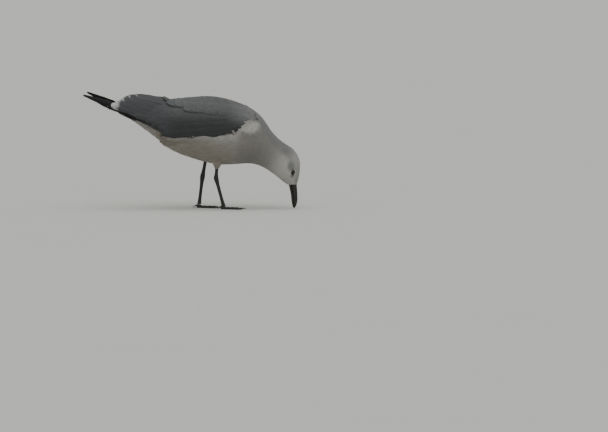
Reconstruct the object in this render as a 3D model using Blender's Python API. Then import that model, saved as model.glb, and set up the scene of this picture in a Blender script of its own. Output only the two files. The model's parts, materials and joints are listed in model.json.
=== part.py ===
"""A laughing gull in winter plumage, stooping to the ground: a still model at life size.

+X is the way the bird faces, +Y its left, +Z up. The soles stand on Z = 0.
The bird is lofted whole, from outlines that a side view and a width give, and is then
parted by thin cuts into trunk, neck, head, wings, wing tips, tail, legs, feet and claws.
Lengths are in millimetres and become metres when a mesh is made.
"""

import math

import bmesh
import bpy
from mathutils import Matrix, Vector

MM = 0.001
GAP = 0.3  # clearance between pieces that touch
REACH = 90  # further out to a side than any piece

RING_SIDES = 30  # points round the body
TRUNK_STEPS, HEAD_STEPS = 2, 3  # rings for each stretch between two stations

# Half sections of the plumage from tail coverts to bill: the upper outline's point, the lower
# outline's point, both (x, z), the half width, and how far down the section is widest.
BODY = [
    ("tail coverts", (-88.5, 160), (-94.5, 147.2), 14, 0.50),
    ("under tail", (-73, 174), (-75, 133), 21, 0.48),
    ("vent", (-50, 183), (-56, 118), 29, 0.47),
    ("hind belly", (-22, 189), (-33, 100), 38, 0.48),
    ("belly", (12, 193), (4, 86), 46, 0.50),
    ("mid body", (42, 193), (39, 77), 50, 0.52),
    ("breast", (75, 185), (71, 76), 49, 0.54),
    ("fore breast", (104, 172), (97, 78), 43.5, 0.54),
    ("shoulders", (123, 155.5), (113, 75.5), 35, 0.52),
    ("neck", (138, 133), (125.5, 70), 27.5, 0.52),
    ("nape", (155, 116), (138, 62), 23, 0.50),
    ("hind crown", (175, 102.5), (151, 52), 20, 0.46),
    ("crown", (185, 87), (156.5, 47.5), 18.5, 0.44),
    ("brow", (187, 71), (161.0, 44.0), 16, 0.45),
    ("lore", (185, 54), (164.4, 41.9), 10.5, 0.48),
    ("bill base", (181.6, 41.7), (167.2, 40.7), 5.6, 0.50),
]
NECK_FROM, HEAD_FROM = 8.4, 10.9  # where along BODY the neck and the head begin
CUT = 0.03  # half the cut between them, in stations

# The outside of the folded wings, as sections of the same kind. The wing is widest at its lower
# edge, so that behind the body the two wings meet over the rump like a roof.
WINGS = [
    ("tertial tips", (-141, 178.5), (-141, 173), 6, 0.50),
    ("tertials", (-128, 184), (-127, 152), 14, 0.50),
    ("hump", (-108, 194.3), (-108, 137), 23, 0.52),
    ("secondaries", (-80, 195), (-80, 108), 32, 0.52),
    ("lower back", (-45, 191.5), (-45, 86), 42, 0.53),
    ("scapulars", (-3, 196), (-3, 80), 49.5, 0.52),
    ("mid wing", (40, 196.5), (40, 74), 52, 0.52),
    ("shoulder", (86, 188), (80, 76), 48.5, 0.52),
    ("wrist", (130, 157), (112, 90), 38.5, 0.50),
]
WING_DEPTH = 4  # how deep a wing lies in the side of the body

# The wing's outline from the side, closed, from the tertials' tip along the lower edge.
WING_OUTLINE = [
    (-139, 177.5),
    (-133, 173.5),
    (-113, 167.3),
    (-84, 152.5),
    (-55, 137.5),
    (-45, 125.5),
    (-28, 119),
    (-2, 122),
    (26, 121),
    (56, 124),
    (79, 129),
    (90, 143),
    (101, 152),
    (113, 154),
    (110, 164),
    (84, 176),
    (45, 181.5),
    (0, 183),
    (-38, 186),
    (-58, 199),
    (-105, 201),
    (-115, 190),
    (-127, 182.5),
]
WING_OUTLINE_STEPS = 2

# The folded primaries from inside the wing to the tip: x, upper z, lower z, and how far from
# the midline the upper and the lower edge lie.
PRIMARIES = [
    (-48, 148, 133.5, 31, 38),
    (-76, 161, 147, 20, 30),
    (-102, 174.5, 158.5, 11, 21.5),
    (-126, 184.6, 168, 4.5, 14.5),
    (-142, 187.6, 172.2, 1.5, 10),
    (-158, 191.4, 181.5, 1.0, 6.5),
    (-174, 193.9, 189.6, 0.9, 3.4),
    (-186.5, 196, 194.9, 0.9, 1.7),
]
PRIMARIES_THICK = 2.0
# How far the folded tips turn up about a place near the tertials, and what share of the
# length past it shows: the left tip is carried a little above the right and less far back.
TIP_PIVOT = (-112, 178)
TIPS = {"right": (0.0, 1.0), "left": (math.radians(4.3), 0.93)}

# The closed tail: x, z of its middle, half width, thickness.
TAIL = [
    (-93.8, 149.9, 13, 4.2),
    (-103, 154.3, 15, 2.9),
    (-114, 160.2, 16.5, 2.2),
    (-126.5, 166.6, 17, 1.6),
]

EYE_AT = (174.5, 63.5)
EYE_RADIUS = 5.2
EYE_CENTRE_Y = 12.1

# The bill is modelled along its own +X, with its chin downwards, and is then turned.
BILL_LENGTH = 40.8
BILL_BASE = (174.4, 41.2)
BILL_PITCH = math.radians(86)
# Share of the length, culmen, gape and lower edge above the bill's axis, and half width.
BILL = [
    (0.00, 7.0, -2.2, -7.0, 4.9),
    (0.18, 7.0, -1.8, -5.8, 4.4),
    (0.38, 7.0, -1.2, -4.6, 3.8),
    (0.58, 6.7, -0.8, -4.3, 3.2),
    (0.74, 5.7, -0.7, -4.0, 2.6),
    (0.88, 3.6, -1.0, -3.0, 1.9),
    (0.96, 1.5, -1.5, -2.3, 1.2),
]
BILL_TIP = (1.0, -1.5)

# Legs: the centre line from the thigh down to the foot, (x, z), and the side the leg is on.
LEGS = {
    "right": {"side": -1, "line": [(44.0, 68.5), (42.8, 53.5), (55.4, 6.6)], "turn": 4},
    "left": {"side": 1, "line": [(24.2, 82.5), (18.8, 53.5), (13.0, 6.6)], "turn": -4},
}
HIP_Y, FOOT_Y = 18, 20
SHANK_DEPTH, SHANK_WIDTH = 5.8, 4.2
ANKLE_DEPTH, ANKLE_WIDTH = 8.8, 6.2
THIGH_LENGTH = 32
THIGH_RADII = [(0, 3.4), (0.1, 4.6), (0.35, 9.0), (1, 12.5)]  # share of the length, radius

# Toes in the foot's own frame: name, bearing from straight ahead, length.
TOES = [("inner", -30, 28), ("middle", 0, 33), ("outer", 31, 30)]
TOE_HEIGHT, TOE_WIDTH = 4.0, 3.8
WEB_THICK = 1.0
CLAW_LENGTH, CLAW_RADIUS = 6.5, 1.3
# The hind toe and its claw: how far behind the shank, height, radius.
HIND_TOE = [(-1, 4.6, 1.7), (4, 4.2, 1.6), (7.2, 3.4, 1.35)]
HIND_CLAW = [(7.65, 3.2, 1.05), (9.2, 2.3, 0.8), (10.8, 1.1, 0.3)]
# The pad where the toes meet, up to the flat on which the shank stands: share of the height,
# half depth, half width.
PAD = [(0, 4.8, 3.8), (0.4, 4.7, 3.7), (0.8, 4.3, 3.3), (1, 4.0, 3.0)]
SOLE = 5.2  # height of the foot where the shank stands on it


def clear_scene():
    for obj in list(bpy.data.objects):
        bpy.data.objects.remove(obj, do_unlink=True)


def finish_for(name, colour, roughness):
    material = bpy.data.materials.new(name)
    material.use_nodes = True
    shader = material.node_tree.nodes["Principled BSDF"]
    shader.inputs["Base Color"].default_value = (*colour, 1)
    shader.inputs["Roughness"].default_value = roughness
    shader.inputs["Metallic"].default_value = 0
    return material


def spline(values, t):
    """Catmull-Rom through equally spaced values, numbers or vectors, at t from 0 to len - 1."""
    last = len(values) - 1
    i = min(int(t), last - 1)
    u = t - i
    p1, p2 = values[i], values[i + 1]
    p0 = values[i - 1] if i > 0 else p1 * 2 - p2
    p3 = values[i + 2] if i + 2 <= last else p2 * 2 - p1
    return 0.5 * (
        p1 * 2
        + (p2 - p0) * u
        + (p0 * 2 - p1 * 5 + p2 * 4 - p3) * u * u
        + (p1 * 3 - p0 - p2 * 3 + p3) * u**3
    )


def section(stations, t, grow=0.0):
    """The ring of points at t along stations, moved outwards by grow."""
    top = spline([Vector((s[1][0], 0, s[1][1])) for s in stations], t)
    bottom = spline([Vector((s[2][0], 0, s[2][1])) for s in stations], t)
    half = spline([s[3] for s in stations], t) + grow
    widest = spline([s[4] for s in stations], t)
    up = (top - bottom).normalized()
    centre = top.lerp(bottom, widest)
    above = (top - centre).length + grow
    below = (centre - bottom).length + grow
    ring = []
    for k in range(RING_SIDES):
        turn = 2 * math.pi * k / RING_SIDES
        rise = math.sin(turn)
        height = (above if rise > 0 else below) * rise
        ring.append(centre + up * height + Vector((0, half * math.cos(turn), 0)))
    return ring


def add_object(name, bm, material=None):
    """A mesh object from bm, whose points are in millimetres."""
    bmesh.ops.scale(bm, vec=(MM, MM, MM), verts=bm.verts)
    bmesh.ops.recalc_face_normals(bm, faces=bm.faces)
    mesh = bpy.data.meshes.new(name)
    bm.to_mesh(mesh)
    bm.free()
    obj = bpy.data.objects.new(name, mesh)
    bpy.context.scene.collection.objects.link(obj)
    if material:
        mesh.materials.append(material)
    mesh.shade_smooth()
    return obj


def loft(name, rings, material=None):
    """Skins a row of rings with triangles, always split one way, and caps both ends."""
    bm = bmesh.new()
    rows = [[bm.verts.new(point) for point in ring] for ring in rings]
    count = len(rows[0])
    for low, high in zip(rows, rows[1:]):
        for k in range(count):
            after = (k + 1) % count
            bm.faces.new((low[k], low[after], high[after]))
            bm.faces.new((low[k], high[after], high[k]))
    bm.faces.new(list(reversed(rows[0])))
    bm.faces.new(rows[-1])
    return add_object(name, bm, material)


def body_rings(stations, start, end, steps=TRUNK_STEPS, grow=0.0):
    count = round((end - start) * steps) + 1
    places = [start + (end - start) * i / (count - 1) for i in range(count)]
    return [section(stations, t, grow) for t in places]


def trunk_rings(tail_room=0.0, grow=0.0):
    """The trunk's rings, and one more behind them if there is to be room behind its end."""
    rings = body_rings(BODY, 0, NECK_FROM - CUT, grow=grow)
    return [section(BODY, -tail_room, grow)] + rings if tail_room else rings


def prism(name, outline, low_y=-REACH, high_y=REACH):
    """A side view outline, (x, z), extruded from low_y to high_y."""
    bm = bmesh.new()
    low = [bm.verts.new((x, low_y, z)) for x, z in outline]
    face = bm.faces.new(low)
    made = bmesh.ops.extrude_face_region(bm, geom=[face])["geom"]
    moved = [v for v in made if isinstance(v, bmesh.types.BMVert)]
    bmesh.ops.translate(bm, vec=(0, high_y - low_y, 0), verts=moved)
    return add_object(name, bm)


def wing_outline(grow=0.0):
    """The wing's closed outline as a smooth curve, moved outwards by grow."""
    count = len(WING_OUTLINE)
    loop = [Vector(p) for p in WING_OUTLINE[-2:] + WING_OUTLINE + WING_OUTLINE[:3]]
    points = [
        spline(loop, 2 + i + j / WING_OUTLINE_STEPS)
        for i in range(count)
        for j in range(WING_OUTLINE_STEPS)
    ]
    grown = []
    for before, here, after in zip(points[-1:] + points, points, points[1:] + points[:1]):
        along = (after - before).normalized()
        grown.append(here + Vector((along.y, -along.x)) * grow)
    return grown


def combine(obj, other, operation):
    """Applies one Boolean to obj and removes the other object."""
    modifier = obj.modifiers.new("combine", "BOOLEAN")
    modifier.operation = operation
    modifier.object = other
    graph = bpy.context.evaluated_depsgraph_get()
    mesh = bpy.data.meshes.new_from_object(obj.evaluated_get(graph))
    obj.modifiers.clear()
    obj.data = mesh
    bpy.data.objects.remove(other, do_unlink=True)
    return obj


def round_ring(centre, along, radius_in_plane, radius_across, sides=10):
    """A ring square to along, with one radius in the side view plane and one across it."""
    along = along.normalized()
    across = Vector((0, 1, 0))
    across = (across - along * across.dot(along)).normalized()
    other = along.cross(across)
    ring = []
    for k in range(sides):
        turn = 2 * math.pi * k / sides
        ring.append(
            centre
            + across * (radius_across * math.cos(turn))
            + other * (radius_in_plane * math.sin(turn))
        )
    return ring


def make_body(feathers):
    """Trunk, neck and head are stretches of one loft. The wings lie in pockets of the trunk."""
    last = len(BODY) - 1
    trunk = loft("trunk", trunk_rings(), feathers["trunk"])
    neck = body_rings(BODY, NECK_FROM + CUT, HEAD_FROM - CUT, HEAD_STEPS)
    loft("neck", neck, feathers["neck"])
    head = loft("head", body_rings(BODY, HEAD_FROM + CUT, last, HEAD_STEPS), feathers["head"])
    pocket = prism("pocket", wing_outline(GAP))
    core = loft("core", trunk_rings(tail_room=2 * CUT, grow=-WING_DEPTH))
    combine(pocket, core, "DIFFERENCE")
    combine(trunk, pocket, "DIFFERENCE")
    return head


def make_wing(name, side, feathers):
    """One folded wing: the part of the wings' outer form that its outline and its side cut out."""
    low, high = sorted((side * GAP / 2, side * REACH))
    wing = prism(name, wing_outline(), low, high)
    wing.data.materials.append(feathers)
    combine(wing, loft("outside", body_rings(WINGS, 0, len(WINGS) - 1)), "INTERSECT")
    core = loft("core", trunk_rings(tail_room=CUT, grow=GAP - WING_DEPTH))
    combine(wing, core, "DIFFERENCE")
    return wing


def make_primaries(name, side, lift, reach, feathers):
    """The long folded flight feathers, a thin blade that slants outwards from its upper edge."""
    rings = []
    for i in range((len(PRIMARIES) - 1) * 2 + 1):
        x, high, low, y_high, y_low = spline([Vector(row) for row in PRIMARIES], i / 2)
        top, bottom = Vector((x, y_high, high)), Vector((x, y_low, low))
        share = min(1.0, (top - bottom).length / 6)
        thick = PRIMARIES_THICK * max(0.4, share) / 2
        face = (top - bottom).cross(Vector((1, 0, 0))).normalized()
        middle = (top + bottom) / 2
        ring = [top, middle + face * thick, bottom, middle - face * thick]
        quarter = [
            (a + b) / 2 + ((a + b) / 2 - middle).normalized() * 0.1 * (a - b).length
            for a, b in zip(ring, ring[1:] + ring[:1])
        ]
        rings.append([p for pair in zip(ring, quarter) for p in pair])
    pivot = Vector((TIP_PIVOT[0], 0, TIP_PIVOT[1]))
    for ring in rings:
        for point in ring:
            past = max(0.0, pivot.x - point.x) / (pivot.x - PRIMARIES[-1][0])
            turn = Matrix.Rotation(lift * min(1.0, past * 3), 3, "Y")
            arm = point - pivot
            if past > 0:
                arm.x *= reach
            point[:] = turn @ arm + pivot
            point.y *= side
    blade = loft(name, rings, feathers)
    return combine(blade, prism("wing", wing_outline(GAP)), "DIFFERENCE")


def make_tail(feathers):
    rings = []
    for i in range((len(TAIL) - 1) * 2 + 1):
        x, z, half, thick = spline([Vector(s) for s in TAIL], i / 2)
        ahead = Vector((TAIL[-1][0] - TAIL[0][0], 0, TAIL[-1][1] - TAIL[0][1]))
        rings.append(round_ring(Vector((x, 0, z)), ahead, thick / 2, half, sides=20))
    return loft("tail", rings, feathers)


def make_eyes(head, eye_finish):
    for name, side in (("right", -1), ("left", 1)):
        centre = Vector((EYE_AT[0], side * EYE_CENTRE_Y, EYE_AT[1]))
        socket = ball("socket", centre, EYE_RADIUS + GAP)
        combine(head, socket, "DIFFERENCE")
        ball("eye_" + name, centre, EYE_RADIUS, eye_finish)


def ball(name, centre, radius, material=None):
    bm = bmesh.new()
    bmesh.ops.create_uvsphere(bm, u_segments=16, v_segments=10, radius=radius)
    bmesh.ops.rotate(bm, cent=(0, 0, 0), matrix=Matrix.Rotation(math.pi / 2, 3, "X"), verts=bm.verts)
    bmesh.ops.translate(bm, vec=centre, verts=bm.verts)
    return add_object(name, bm, material)


def bill_ring(x, top, bottom, half, square, sides=12):
    """A half-round mandible section: square on the gape side, arched on the other."""
    ring = []
    for k in range(sides):
        turn = 2 * math.pi * k / sides
        rise, out = math.sin(turn), math.cos(turn)
        if square * rise > 0:  # the flat side, towards the gape
            out = math.copysign(abs(out) ** 0.35, out)
        height = (top + bottom) / 2 + (top - bottom) / 2 * rise
        ring.append(Vector((x, half * out, height)))
    return ring


def make_bill(horn):
    turn = Matrix.Rotation(BILL_PITCH, 3, "Y")
    base = Vector((BILL_BASE[0], 0, BILL_BASE[1]))
    for name, first, second, square in (("bill_upper", 1, 2, -1), ("bill_lower", 2, 3, 1)):
        rings = []
        rows = [Vector((row[0], row[first], row[second], row[4])) for row in BILL]
        for i in range((len(rows) - 1) * 2 + 1):
            share, top, bottom, half = spline(rows, i / 2)
            slit = GAP / 2
            if square < 0:
                bottom += slit
            else:
                top = top - slit
                half *= 0.94
            rings.append(bill_ring(share * BILL_LENGTH + GAP, top, bottom, half, square))
        if square < 0:
            tip = Vector((BILL_TIP[0] * BILL_LENGTH, 0, BILL_TIP[1]))
            rings.append([tip + (p - tip) * 0.25 for p in rings[-1]])
        for ring in rings:
            for point in ring:
                point[:] = turn @ point + base
        loft(name, rings, horn)


def make_leg(side_name, skin, feathers):
    """A feathered thigh, then the bare shank with its ankle, down to the foot."""
    leg = LEGS[side_name]
    side = leg["side"]
    top, ankle, foot = (Vector((x, 0, z)) for x, z in leg["line"])
    top.y, ankle.y, foot.y = (side * y for y in (HIP_Y, (HIP_Y + FOOT_Y) / 2, FOOT_Y))
    # Share of the way, then how thick the leg is there, from the shank to the ankle.
    upper = [(0, 0.1), (0.45, 0.0), (0.75, 0.45), (0.92, 0.95)]
    lower = [(0.0, 1.0), (0.07, 0.85), (0.2, 0.25), (0.4, 0.0), (0.75, 0.0), (0.92, 0.25), (1, 0.6)]
    rings = []
    bisector = ((ankle - top).normalized() + (foot - ankle).normalized()).normalized()
    for a, b, shares in ((top, ankle, upper), (ankle, foot, lower)):
        for share, swell in shares:
            along = bisector if swell == 1.0 else b - a
            depth = SHANK_DEPTH + (ANKLE_DEPTH - SHANK_DEPTH) * swell
            width = SHANK_WIDTH + (ANKLE_WIDTH - SHANK_WIDTH) * swell
            rings.append(round_ring(a.lerp(b, share), along, depth / 2, width / 2))
    loft("shank_" + side_name, rings, skin)

    down = (top - ankle).normalized()
    rings = []
    for share, radius in THIGH_RADII:
        centre = top + down * (GAP + THIGH_LENGTH * share)
        rings.append(round_ring(centre, down, radius, radius * 0.9, sides=16))
    thigh = loft("thigh_" + side_name, rings, feathers)
    body = loft("body", trunk_rings(grow=GAP))
    combine(thigh, body, "DIFFERENCE")
    return foot


def toe_rings(length, height, width):
    """A toe along +X with a knuckle at each joint, flat side to the floor."""
    rings = []
    joints = 3
    steps = joints * 2
    for i in range(steps + 1):
        share = i / steps
        knuckle = 1 + 0.10 * math.cos(share * joints * 2 * math.pi)
        size = knuckle * (1 - 0.34 * share)
        middle = Vector((length * share, 0, height * size * 0.42))
        rings.append(round_ring(middle, Vector((1, 0, 0)), height * size * 0.58, width * size / 2, 8))
    return rings


def web_outline():
    """The web from above: out along the toes, with hollow front edges between their tips."""
    tips = [
        Vector((length * math.cos(math.radians(turn)), length * math.sin(math.radians(turn))))
        for _, turn, length in TOES
    ]
    outline = [Vector((-1.5, 0))]
    for first, second in zip(tips, tips[1:]):
        hollow = (first + second) / 2 * 0.80
        for i in range(7):
            u = i / 6
            outline.append(first.lerp(hollow, u).lerp(hollow.lerp(second, u), u) * 0.97)
    return outline


def claw_rings(start, length, size):
    """A curved, pointed claw along +X from start that bends down to the floor."""
    rings = []
    for share in (0, 0.3, 0.6, 0.85, 1):
        radius = size * (1 - 0.86 * share)
        drop = size * 1.05 - (size * 0.85) * share**1.6
        along = Vector((1, 0, -0.5 * share))
        centre = Vector((start + length * share, 0, drop))
        rings.append(round_ring(centre, along, radius, radius * 0.75, 8))
    return rings


def hind_rings(rows):
    """A stretch of the hind toe, sloping down behind the shank."""
    slope = Vector((-1, 0, -0.5))
    return [round_ring(Vector((-back, 0, z)), slope, r, r * 0.9, 8) for back, z, r in rows]


def placed(rings, bearing, foot):
    """Rings turned to a toe's bearing and set at the foot's place on the floor."""
    turn = Matrix.Rotation(math.radians(bearing), 3, "Z")
    return [[turn @ point + Vector((foot.x, foot.y, 0)) for point in ring] for ring in rings]


def make_web(bearing, inwards, foot):
    """The web between the toes, a thin sheet on the floor."""
    bm = bmesh.new()
    turn = Matrix.Rotation(math.radians(bearing), 2)
    flat = [turn @ Vector((p.x, -p.y * inwards)) for p in web_outline()]
    face = bm.faces.new([bm.verts.new((foot.x + p.x, foot.y + p.y, 0)) for p in flat])
    top = bmesh.ops.extrude_face_region(bm, geom=[face])["geom"]
    raised = [v for v in top if isinstance(v, bmesh.types.BMVert)]
    bmesh.ops.translate(bm, vec=(0, 0, WEB_THICK), verts=raised)
    return add_object("web", bm)


def make_foot(side_name, foot, skin, horn):
    """Three webbed toes and a small hind toe, joined on a pad, with a claw on each."""
    straight = LEGS[side_name]["turn"]
    inwards = -LEGS[side_name]["side"]
    on_floor = Vector((foot.x, foot.y, 0))
    up = Vector((0, 0, 1))
    pad = [round_ring(on_floor + up * SOLE * h, up, deep, wide, 12) for h, deep, wide in PAD]
    sole = loft("foot_" + side_name, pad, skin)
    combine(sole, make_web(straight, inwards, foot), "UNION")
    for name, spread, length in TOES:
        bearing = straight - spread * inwards
        toe = placed(toe_rings(length, TOE_HEIGHT, TOE_WIDTH), bearing, foot)
        combine(sole, loft("toe", toe), "UNION")
        claw = placed(claw_rings(length + GAP, CLAW_LENGTH, CLAW_RADIUS), bearing, foot)
        loft(f"claw_{name}_{side_name}", claw, horn)
    combine(sole, loft("hind toe", placed(hind_rings(HIND_TOE), straight, foot)), "UNION")
    loft("claw_hind_" + side_name, placed(hind_rings(HIND_CLAW), straight, foot), horn)
    floor_cut(sole)


def floor_cut(obj):
    """Cuts away what lies under the floor, so that the sole is flat at Z = 0."""
    size = 2 * REACH
    corners = [(-size, -size), (size, -size), (size, size), (-size, size)]
    rings = [[Vector((x, y, z)) for x, y in corners] for z in (-size, 0)]
    combine(obj, loft("ground", rings), "DIFFERENCE")


def centre_on_floor():
    """Moves every piece so that the origin is under the middle of the bird."""
    corners = [v.co for obj in bpy.data.objects for v in obj.data.vertices]
    low = Vector(map(min, zip(*corners)))
    high = Vector(map(max, zip(*corners)))
    shift = Vector(((low.x + high.x) / 2, (low.y + high.y) / 2, low.z))
    for obj in bpy.data.objects:
        obj.data.transform(Matrix.Translation(-shift))


def main():
    clear_scene()
    white = finish_for("white plumage", (0.72, 0.72, 0.70), 0.8)
    pale = finish_for("pale grey plumage", (0.42, 0.43, 0.44), 0.8)
    slate = finish_for("slate plumage", (0.10, 0.105, 0.115), 0.7)
    black = finish_for("black plumage", (0.012, 0.012, 0.013), 0.5)
    skin = finish_for("black leg skin", (0.012, 0.013, 0.013), 0.5)
    horn = finish_for("black horn", (0.012, 0.011, 0.011), 0.35)
    iris = finish_for("dark eye", (0.012, 0.008, 0.006), 0.05)

    head = make_body({"trunk": white, "neck": pale, "head": white})
    make_eyes(head, iris)
    make_bill(horn)
    make_tail(white)
    for name, side in (("right", -1), ("left", 1)):
        make_wing("wing_" + name, side, slate)
        make_primaries("primaries_" + name, side, *TIPS[name], black)
        foot = make_leg(name, skin, white)
        make_foot(name, foot, skin, horn)
    centre_on_floor()


main()
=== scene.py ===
"""The looks of a laughing gull in winter plumage: skin, feathers, bill, eyes, legs and stage.

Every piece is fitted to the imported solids. Lengths here are in millimetres unless a name says
otherwise, and become metres when a mesh is made. +X is the way the bird faces, +Y its left.
"""

import json
import math
from functools import lru_cache
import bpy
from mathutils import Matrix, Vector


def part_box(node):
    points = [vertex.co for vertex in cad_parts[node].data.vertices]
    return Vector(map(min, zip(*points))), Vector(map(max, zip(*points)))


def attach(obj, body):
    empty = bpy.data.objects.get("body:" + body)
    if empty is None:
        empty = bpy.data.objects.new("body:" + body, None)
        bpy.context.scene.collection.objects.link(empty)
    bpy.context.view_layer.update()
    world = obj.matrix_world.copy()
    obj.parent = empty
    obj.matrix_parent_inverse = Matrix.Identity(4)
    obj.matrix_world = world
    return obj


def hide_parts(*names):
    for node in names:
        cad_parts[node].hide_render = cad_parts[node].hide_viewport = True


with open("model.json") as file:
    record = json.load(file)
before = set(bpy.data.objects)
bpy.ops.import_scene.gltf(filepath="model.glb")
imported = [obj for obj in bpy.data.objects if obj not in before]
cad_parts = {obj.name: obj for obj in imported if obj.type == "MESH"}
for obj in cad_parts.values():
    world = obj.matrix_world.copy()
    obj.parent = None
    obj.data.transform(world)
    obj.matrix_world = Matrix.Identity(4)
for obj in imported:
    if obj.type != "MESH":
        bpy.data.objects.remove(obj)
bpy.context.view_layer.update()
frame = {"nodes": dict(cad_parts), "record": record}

from types import SimpleNamespace

import bmesh
import bpy
import numpy as np
from bpy.props import FloatProperty, FloatVectorProperty, PointerProperty
from mathutils import Vector
from mathutils.bvhtree import BVHTree

bl_info = {
    "name": "Laughing gull",
    "version": (1, 0, 0),
    "blender": (4, 5, 0),
    "location": "View3D > Sidebar > Gull",
    "description": "Dresses the gull's solids in skin, feathers, horn and scales",
    "category": "Object",
}

MM = 0.001
BODY = "root"
SIDES = {"right": -1, "left": 1}
FLESH = ("trunk", "neck", "head", "wing_left", "wing_right", "thigh_left", "thigh_right")

# The midline of the body in side view, (x, z), from the tail's tip to the bill's base.
SPINE = [
    (-128, 168),
    (-91, 153),
    (-60, 154),
    (-25, 145),
    (8, 140),
    (40, 136),
    (73, 131),
    (99, 124),
    (118, 114),
    (132, 101),
    (147, 88),
    (162, 76),
    (171, 63),
    (174, 51),
    (174.4, 41),
]
# Body feathers: share of the way from the tail's tip to the bill, length.
FEATHER_LENGTHS = [
    (0.00, 17),
    (0.20, 16),
    (0.42, 15),
    (0.58, 12.5),
    (0.66, 9.5),
    (0.74, 7.2),
    (0.82, 5.6),
    (0.90, 4.0),
    (0.96, 2.9),
    (1.00, 2.2),
]
NECK_FROM, HEAD_FROM = 0.655, 0.80  # shares of the way where neck and head begin
MANTLE_END = -36  # x of the hind end of the mantle, behind which the wings meet over the back
VENT_END = -90  # x where the body's feathers end and the tail begins
EYE_SLIMNESS = 0.76  # width of the opening between the lids, as a share of its length
FORWARD, LEFTWARD, UPWARD = np.eye(3)


# ---------------------------------------------------------------------------------------------
# Numbers


def linear(hex_colour):
    """An sRGB hex colour as three linear values."""
    parts = [int(hex_colour[i : i + 2], 16) / 255 for i in (1, 3, 5)]
    return [p / 12.92 if p <= 0.04045 else ((p + 0.055) / 1.055) ** 2.4 for p in parts]


def smooth(low, high, value):
    """0 below low, 1 above high, and a smooth step between."""
    share = np.clip((np.asarray(value, float) - low) / (high - low), 0, 1)
    return share * share * (3 - 2 * share)


def unit(vectors):
    return vectors / np.maximum(np.linalg.norm(vectors, axis=-1, keepdims=True), 1e-9)


def along_table(table, value):
    """Linear interpolation in a table of (key, value) rows."""
    keys, values = zip(*table)
    return np.interp(value, keys, values)


def wiggled(values, rng, amount):
    return values + rng.normal(0, amount, np.shape(values))


def spline_through(points, steps):
    """A smooth curve through points, steps samples for each stretch."""
    p = np.array(points, float)
    p = np.vstack([2 * p[0] - p[1], p, 2 * p[-1] - p[-2]])
    u = np.arange(steps)[:, None] / steps
    curve = []
    for a, b, c, d in zip(p, p[1:], p[2:], p[3:]):
        bend = (2 * a - 5 * b + 4 * c - d) * u**2 + (3 * b - a - 3 * c + d) * u**3
        curve.append(0.5 * (2 * b + (c - a) * u + bend))
    return np.vstack([*curve, p[-2:-1]])


class Midline:
    """Places any point by its way along the body and its turn about it."""

    def __init__(self):
        self.points = spline_through(SPINE, 16)
        run = np.linalg.norm(np.diff(self.points, axis=0), axis=1)
        self.run = np.concatenate([[0], np.cumsum(run)])
        self.length = self.run[-1]
        self.ahead = unit(np.gradient(self.points, axis=0))

    def place(self, points):
        """Share of the way along, turn from the back (0) to the belly (pi), way to the tail."""
        share, turn, back = [], [], []
        for chunk in np.array_split(points, len(points) // 20000 + 1):
            gap = ((chunk[:, None, [0, 2]] - self.points) ** 2).sum(-1)
            i = gap.argmin(1)
            ahead = self.ahead[i]
            off = chunk[:, [0, 2]] - self.points[i]
            height = off[:, 1] * ahead[:, 0] - off[:, 0] * ahead[:, 1]
            share.append(self.run[i] / self.length)
            turn.append(np.arctan2(chunk[:, 1], height))
            back.append(np.stack([-ahead[:, 0], 0 * height, -ahead[:, 1]], 1))
        return np.concatenate(share), np.concatenate(turn), np.concatenate(back)


MIDLINE = Midline()


# ---------------------------------------------------------------------------------------------
# The solids


@lru_cache(maxsize=None)
def triangles_of(node):
    """A solid's triangles in millimetres, as an array of (triangle, corner, axis)."""
    mesh = frame["nodes"][node].data
    points = np.array([vert.co for vert in mesh.vertices]) / MM
    return points[np.array([tuple(face.vertices) for face in mesh.polygons])]


def box_of(node):
    """A solid's lowest and highest corner in millimetres."""
    return tuple(np.array(corner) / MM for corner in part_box(node))


def slice_extents(node, at, axis, *ways):
    """How far a solid reaches, low and high, along each of ways in a plane square to axis."""
    triangles = triangles_of(node)
    reach = (triangles - at) @ axis
    found = []
    for a, b in ((0, 1), (1, 2), (2, 0)):
        crossing = reach[:, a] * reach[:, b] < 0
        share = reach[crossing, a] / (reach[crossing, a] - reach[crossing, b])
        start, end = triangles[crossing, a], triangles[crossing, b]
        found.append(start + (end - start) * share[:, None])
    found = np.concatenate(found)
    return [((found @ way).min(), (found @ way).max()) for way in ways]


def find_eyes():
    """Where the solids' eyes are: centre, radius, the way each looks, and its own up and back.

    Up is towards the crown and back towards the nape, both square to the look.
    """
    eyes = {}
    for name, side in SIDES.items():
        low, high = box_of("eye_" + name)
        look = unit(np.array([0.03, side, -0.10]))
        up = unit(FORWARD - look * (FORWARD @ look))
        back = unit(UPWARD - look * (UPWARD @ look) - up * (UPWARD @ up))
        centre, radius = (low + high) / 2, (high[0] - low[0]) / 2
        eyes[name] = SimpleNamespace(centre=centre, radius=radius, look=look, up=up, back=back)
    return eyes


EYES = find_eyes()


# ---------------------------------------------------------------------------------------------
# Settings


def hue(name, hex_colour, description):
    return FloatVectorProperty(
        name=name, description=description, default=linear(hex_colour), subtype="COLOR", min=0, max=1
    )


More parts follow.
